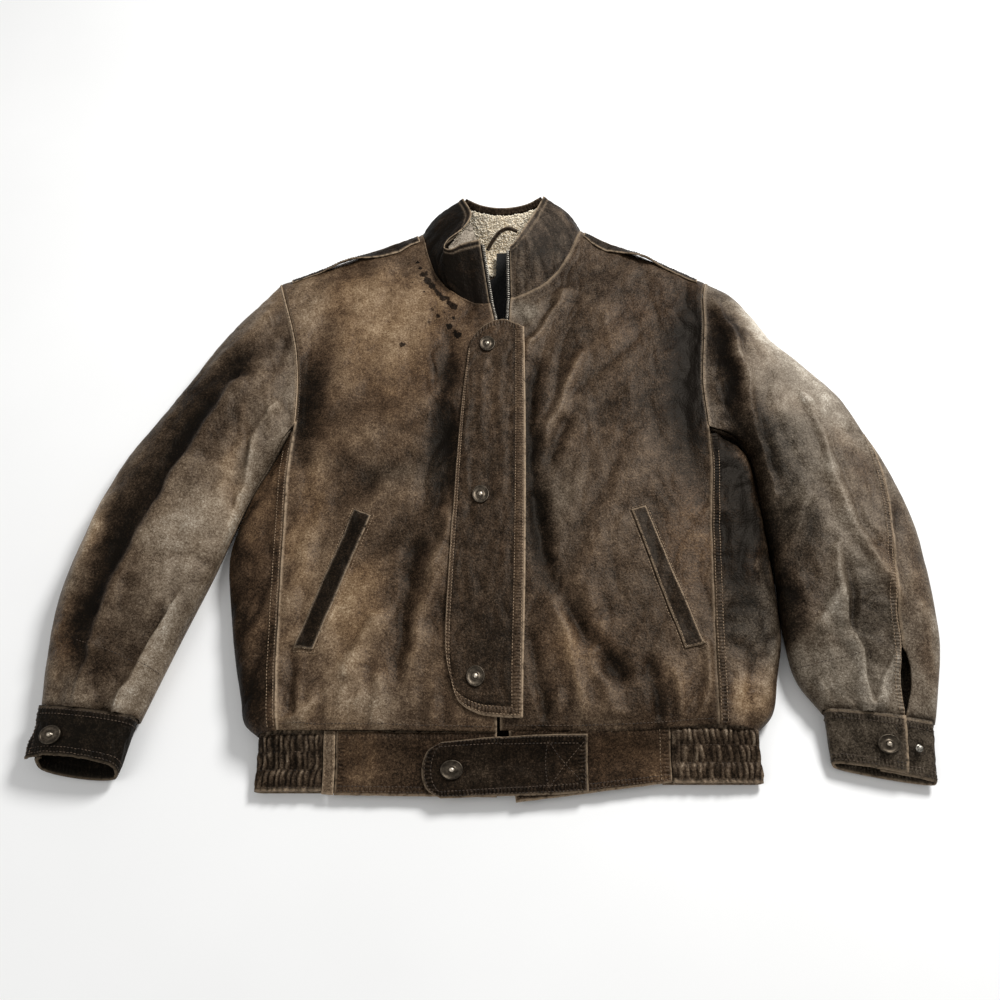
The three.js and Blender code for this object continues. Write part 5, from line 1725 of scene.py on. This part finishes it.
def build_stitches():
    light, dark = [], []
    for side in SIDES:
        turn = SIGN[side]
        front = front_surface(side)
        light += [side_row(side, 2.4), side_row(side, 8.6)]
        dark += [body_row(side, ARMHOLE[side], turn * 3.0)]
        dark += [level(front, 0.008, 0.02, 0.98)]
        welt = welt_surface(side)
        (light if side == "left" else dark).extend(framed(welt, WELT_SIZE, 1.8))
        a, b, c, d = {"right": ((-203, -237), (-181, -239), (-131, -83), (-154, -73)),
                      "left": ((210, -234), (187, -238), (142, -75), (162, -68))}[side]
        for start, end in ((a, b), (b, c), (c, d), (d, a)):
            run = walk(line([start, end]), 80)
            light.append(laid_on(run, lambda x, y: body_top(side, x, y), 0.15))
        strap = strap_surface(side)
        dark += [level(strap, 0.16), level(strap, 0.84)]
        collar = collar_surface(side)
        u = np.linspace(0.02, 0.98, 200)
        rows = [(u, 0 * u + 0.9)] + [(u, 0 * u + 0.05)] * (side == "left")
        dark += outside(collar, lambda at: COLLAR_HEART - at, rows)
        elastic = elastic_surface(side)
        for v in (0.06, 0.355, 0.65, 0.945):
            dark.append(level(elastic, v, 0.01, 0.47))
        cuff = cuff_surface(side)
        u = np.linspace(0.005, 0.995, 500)
        cuff_rows = [(u, 0 * u + v) for v in (0.07, 0.17, 0.83, 0.93)]
        v = np.linspace(0.1, 0.9, 40)
        cuff_rows += [(0 * v + 0.008, v), (0 * v + 0.03, v)]
        dark.extend(outside(cuff, cuff_heart(side), cuff_rows))
    light += framed(FLAP, FLAP_SIZE, 2.6)[:3] + framed(FLAP, FLAP_SIZE, 9)[:3]
    dark += framed(TAB, TAB_SIZE, 2.6) + [framed(TAB, TAB_SIZE, 8.5)[k] for k in (0, 2, 3)]
    t = np.linspace(0, 1, 80)
    for v0, v1 in ((0.16, 0.84), (0.84, 0.16)):
        dark.append(TAB(mix(0.76, 0.97, t), mix(v0, v1, t)) + [0, 0, 0.15])
    dark.append(across(TAB, 0.745, 0.1, 0.9))
    bands = band_surfaces()
    for name in BAND_PANELS:
        dark += [level(bands[name], v, 0.01, 0.99) for v in (0.06, 0.14)]
    light += [across(bands["join_strip_right"], u, 0.03, 0.97) for u in (0.18, 0.82)]
    light.append(across(bands["waistband_left"], 0.93, 0.05, 0.95))
    sleeve = upper_surface("left")
    for u in (2.4 / 190, 9.4 / 190):
        light.append(across(sleeve, u, 0.45, 0.99))
    for side, v, start, end in (("right", 0.87, 0.35, 0.98), ("left", 0.87, 0.3, 0.98)):
        dark.append(level(upper_surface(side), v, start, end))
    for side in SIDES:
        run = upper_surface(side)
        u = np.linspace(0.03, 0.97, 200)
        dark.append(run(u, 0 * u + 0.004) + [0, 0, 0.2])
    set_in_rows("light_stitches", light, STITCH_PITCH, BEAD, STITCH, PALE_THREAD, "leather_tan")
    set_in_rows("dark_stitches", dark, STITCH_PITCH, BEAD, STITCH, DARK_THREAD, "leather_dark")


def build_tufts():
    pick = np.random.default_rng(11)
    u, v = pick.random(2600), pick.random(2600)
    spots = nap_surface(u, v) + pick.normal(0, 0.25, (2600, 3))
    turns = pick.random((2600, 3)) * 6.28
    scatter("fleece_tufts", spots, turns, CURL, (2.0, 1.6, 1.0), FLEECE, "fleece")


for side in SIDES:
    build_front(side)
    build_side_panel(side)
    build_sleeve(side)
    build_cuff(side)
    build_elastic(side)
build_back()
build_band()
build_overlays()
build_collar()
build_zip()
build_snaps()
build_stitches()
build_tufts()

# Each sheet's cut in metres: width and length, its area where it isn't a rectangle, how it is held,
# what it lies on, and the separate pieces sewn on it.
FLOOR, BACK, FRONTS = "studio_floor", "back_panel_leather", ("front_right_leather", "front_left_leather")
CUTS = {
    "front_right_leather": ((0.275, 0.68), 0.142, "laid", [BACK], ["zip_tape_right_cloth"]),
    "front_left_leather": ((0.275, 0.68), 0.143, "laid", [BACK], ["zip_tape_left_cloth"]),
    "side_panel_right_leather": ((0.11, 0.36), 0.0315, "laid", [FLOOR], []),
    "side_panel_left_leather": ((0.12, 0.36), 0.036, "laid", [FLOOR], []),
    "back_panel_leather": ((0.55, 0.665), 0.3, "laid", [FLOOR], []),
    "sleeve_upper_right_leather": ((0.21, 0.56), 0.085, "laid", ["sleeve_under_right_leather"], []),
    "sleeve_upper_left_leather": ((0.2, 0.56), 0.074, "laid", ["sleeve_under_left_leather"], []),
    "sleeve_under_right_leather": ((0.18, 0.56), 0.078, "laid", [FLOOR], []),
    "sleeve_under_left_leather": ((0.22, 0.56), 0.096, "laid", [FLOOR], []),
    "cuff_right_leather": ((0.23, 0.056), None, "laid", [FLOOR], []),
    "cuff_left_leather": ((0.245, 0.056), None, "laid", [FLOOR], []),
    "elastic_right_leather": ((0.19, 0.055), None, "gathered", [FLOOR], []),
    "elastic_left_leather": ((0.22, 0.055), None, "gathered", [FLOOR], []),
    "waistband_right_leather": ((0.155, 0.06), None, "laid", ["waistband_back_leather"], []),
    "waistband_left_leather": ((0.153, 0.06), None, "laid", ["waistband_back_leather"], []),
    "join_strip_right_leather": ((0.0115, 0.06), None, "laid", [FLOOR], []),
    "waistband_back_leather": ((0.309, 0.046), None, "laid", [FLOOR], []),
    "waist_tab_leather": ((0.158, 0.055), None, "laid",
                          ["waistband_left_leather", "waistband_right_leather"], []),
    "storm_flap_leather": ((0.077, 0.465), 0.0352, "laid", [*FRONTS], []),
    "pocket_welt_right_leather": ((0.021, 0.165), None, "laid", [FRONTS[0]], []),
    "pocket_welt_left_leather": ((0.02, 0.165), None, "laid", [FRONTS[1]], []),
    "shoulder_strap_right_leather": ((0.185, 0.0155), None, "laid", [FRONTS[0]], []),
    "shoulder_strap_left_leather": ((0.18, 0.0155), None, "laid", [FRONTS[1]], []),
    "collar_right_leather": ((0.175, 0.06), 0.0096, "folded", [FRONTS[0]], []),
    "collar_left_leather": ((0.17, 0.062), 0.0094, "folded", [FRONTS[1]], []),
    "collar_back_leather": ((0.125, 0.066), None, "folded", [BACK], ["hanger_loop_leather"]),
    "collar_edge_strip_leather": ((0.105, 0.01), None, "laid", ["collar_back_leather"], []),
    "neck_fleece_pile": ((0.092, 0.1), None, "laid", [BACK], []),
    "collar_facing_leather": ((0.042, 0.022), None, "laid", ["collar_right_leather"], []),
    "neck_label_cloth": ((0.034, 0.112), 0.0028, "laid", [BACK], []),
}
made = bpy.data.objects
for name, (flat, area, held, below, sewn_on) in CUTS.items():
    [made[p] for p in sewn_on]
    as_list(below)

# ---------------------------------------------------------------- studio


def floor_paint():
    n = Nodes("pale studio floor")
    pale = [(0.3, (244, 244, 243)), (0.7, (248, 248, 247))]
    n.feed(n.shader.inputs["Base Color"], n.ramp(n.noise(3), pale))
    n.shader.inputs["Roughness"].default_value = 0.9
    return n.material


bm = bmesh.new()
bmesh.ops.create_grid(bm, x_segments=1, y_segments=1, size=4)
floor_mesh = bpy.data.meshes.new("studio_floor")
bm.to_mesh(floor_mesh)
bm.free()
floor_mesh.materials.append(floor_paint())
floor = bpy.data.objects.new("studio_floor", floor_mesh)
floor.location.z = -0.0004
bpy.context.scene.collection.objects.link(floor)


def lamp(name, place, size, power, colour=(1, 1, 1)):
    data = bpy.data.lights.new(name, "AREA")
    data.shape, data.size, data.energy, data.color = "DISK", size, power, colour
    obj = bpy.data.objects.new(name, data)
    obj.location = place
    obj.rotation_euler = (Vector((0, -0.05, 0)) - Vector(place)).to_track_quat("-Z", "Y").to_euler()
    bpy.context.scene.collection.objects.link(obj)


lamp("key light", (1.15, 1.15, 1.5), 0.7, 56)
lamp("fill light", (-1.5, -0.8, 1.8), 1.6, 9)

world = bpy.data.worlds.new("pale room")
bpy.context.scene.world = world
world.use_nodes = True
world.node_tree.nodes["Background"].inputs["Color"].default_value = (1, 1, 1, 1)
world.node_tree.nodes["Background"].inputs["Strength"].default_value = 0.4

camera_data = bpy.data.cameras.new("camera")
camera_data.lens, camera_data.sensor_width = 36, 36
camera = bpy.data.objects.new("camera", camera_data)
camera.location = (0.004, -0.6043, 0.9692)
camera.rotation_euler = (math.radians(30), 0, 0)
bpy.context.scene.collection.objects.link(camera)
bpy.context.scene.camera = camera
bpy.context.scene.view_settings.view_transform = "Standard"
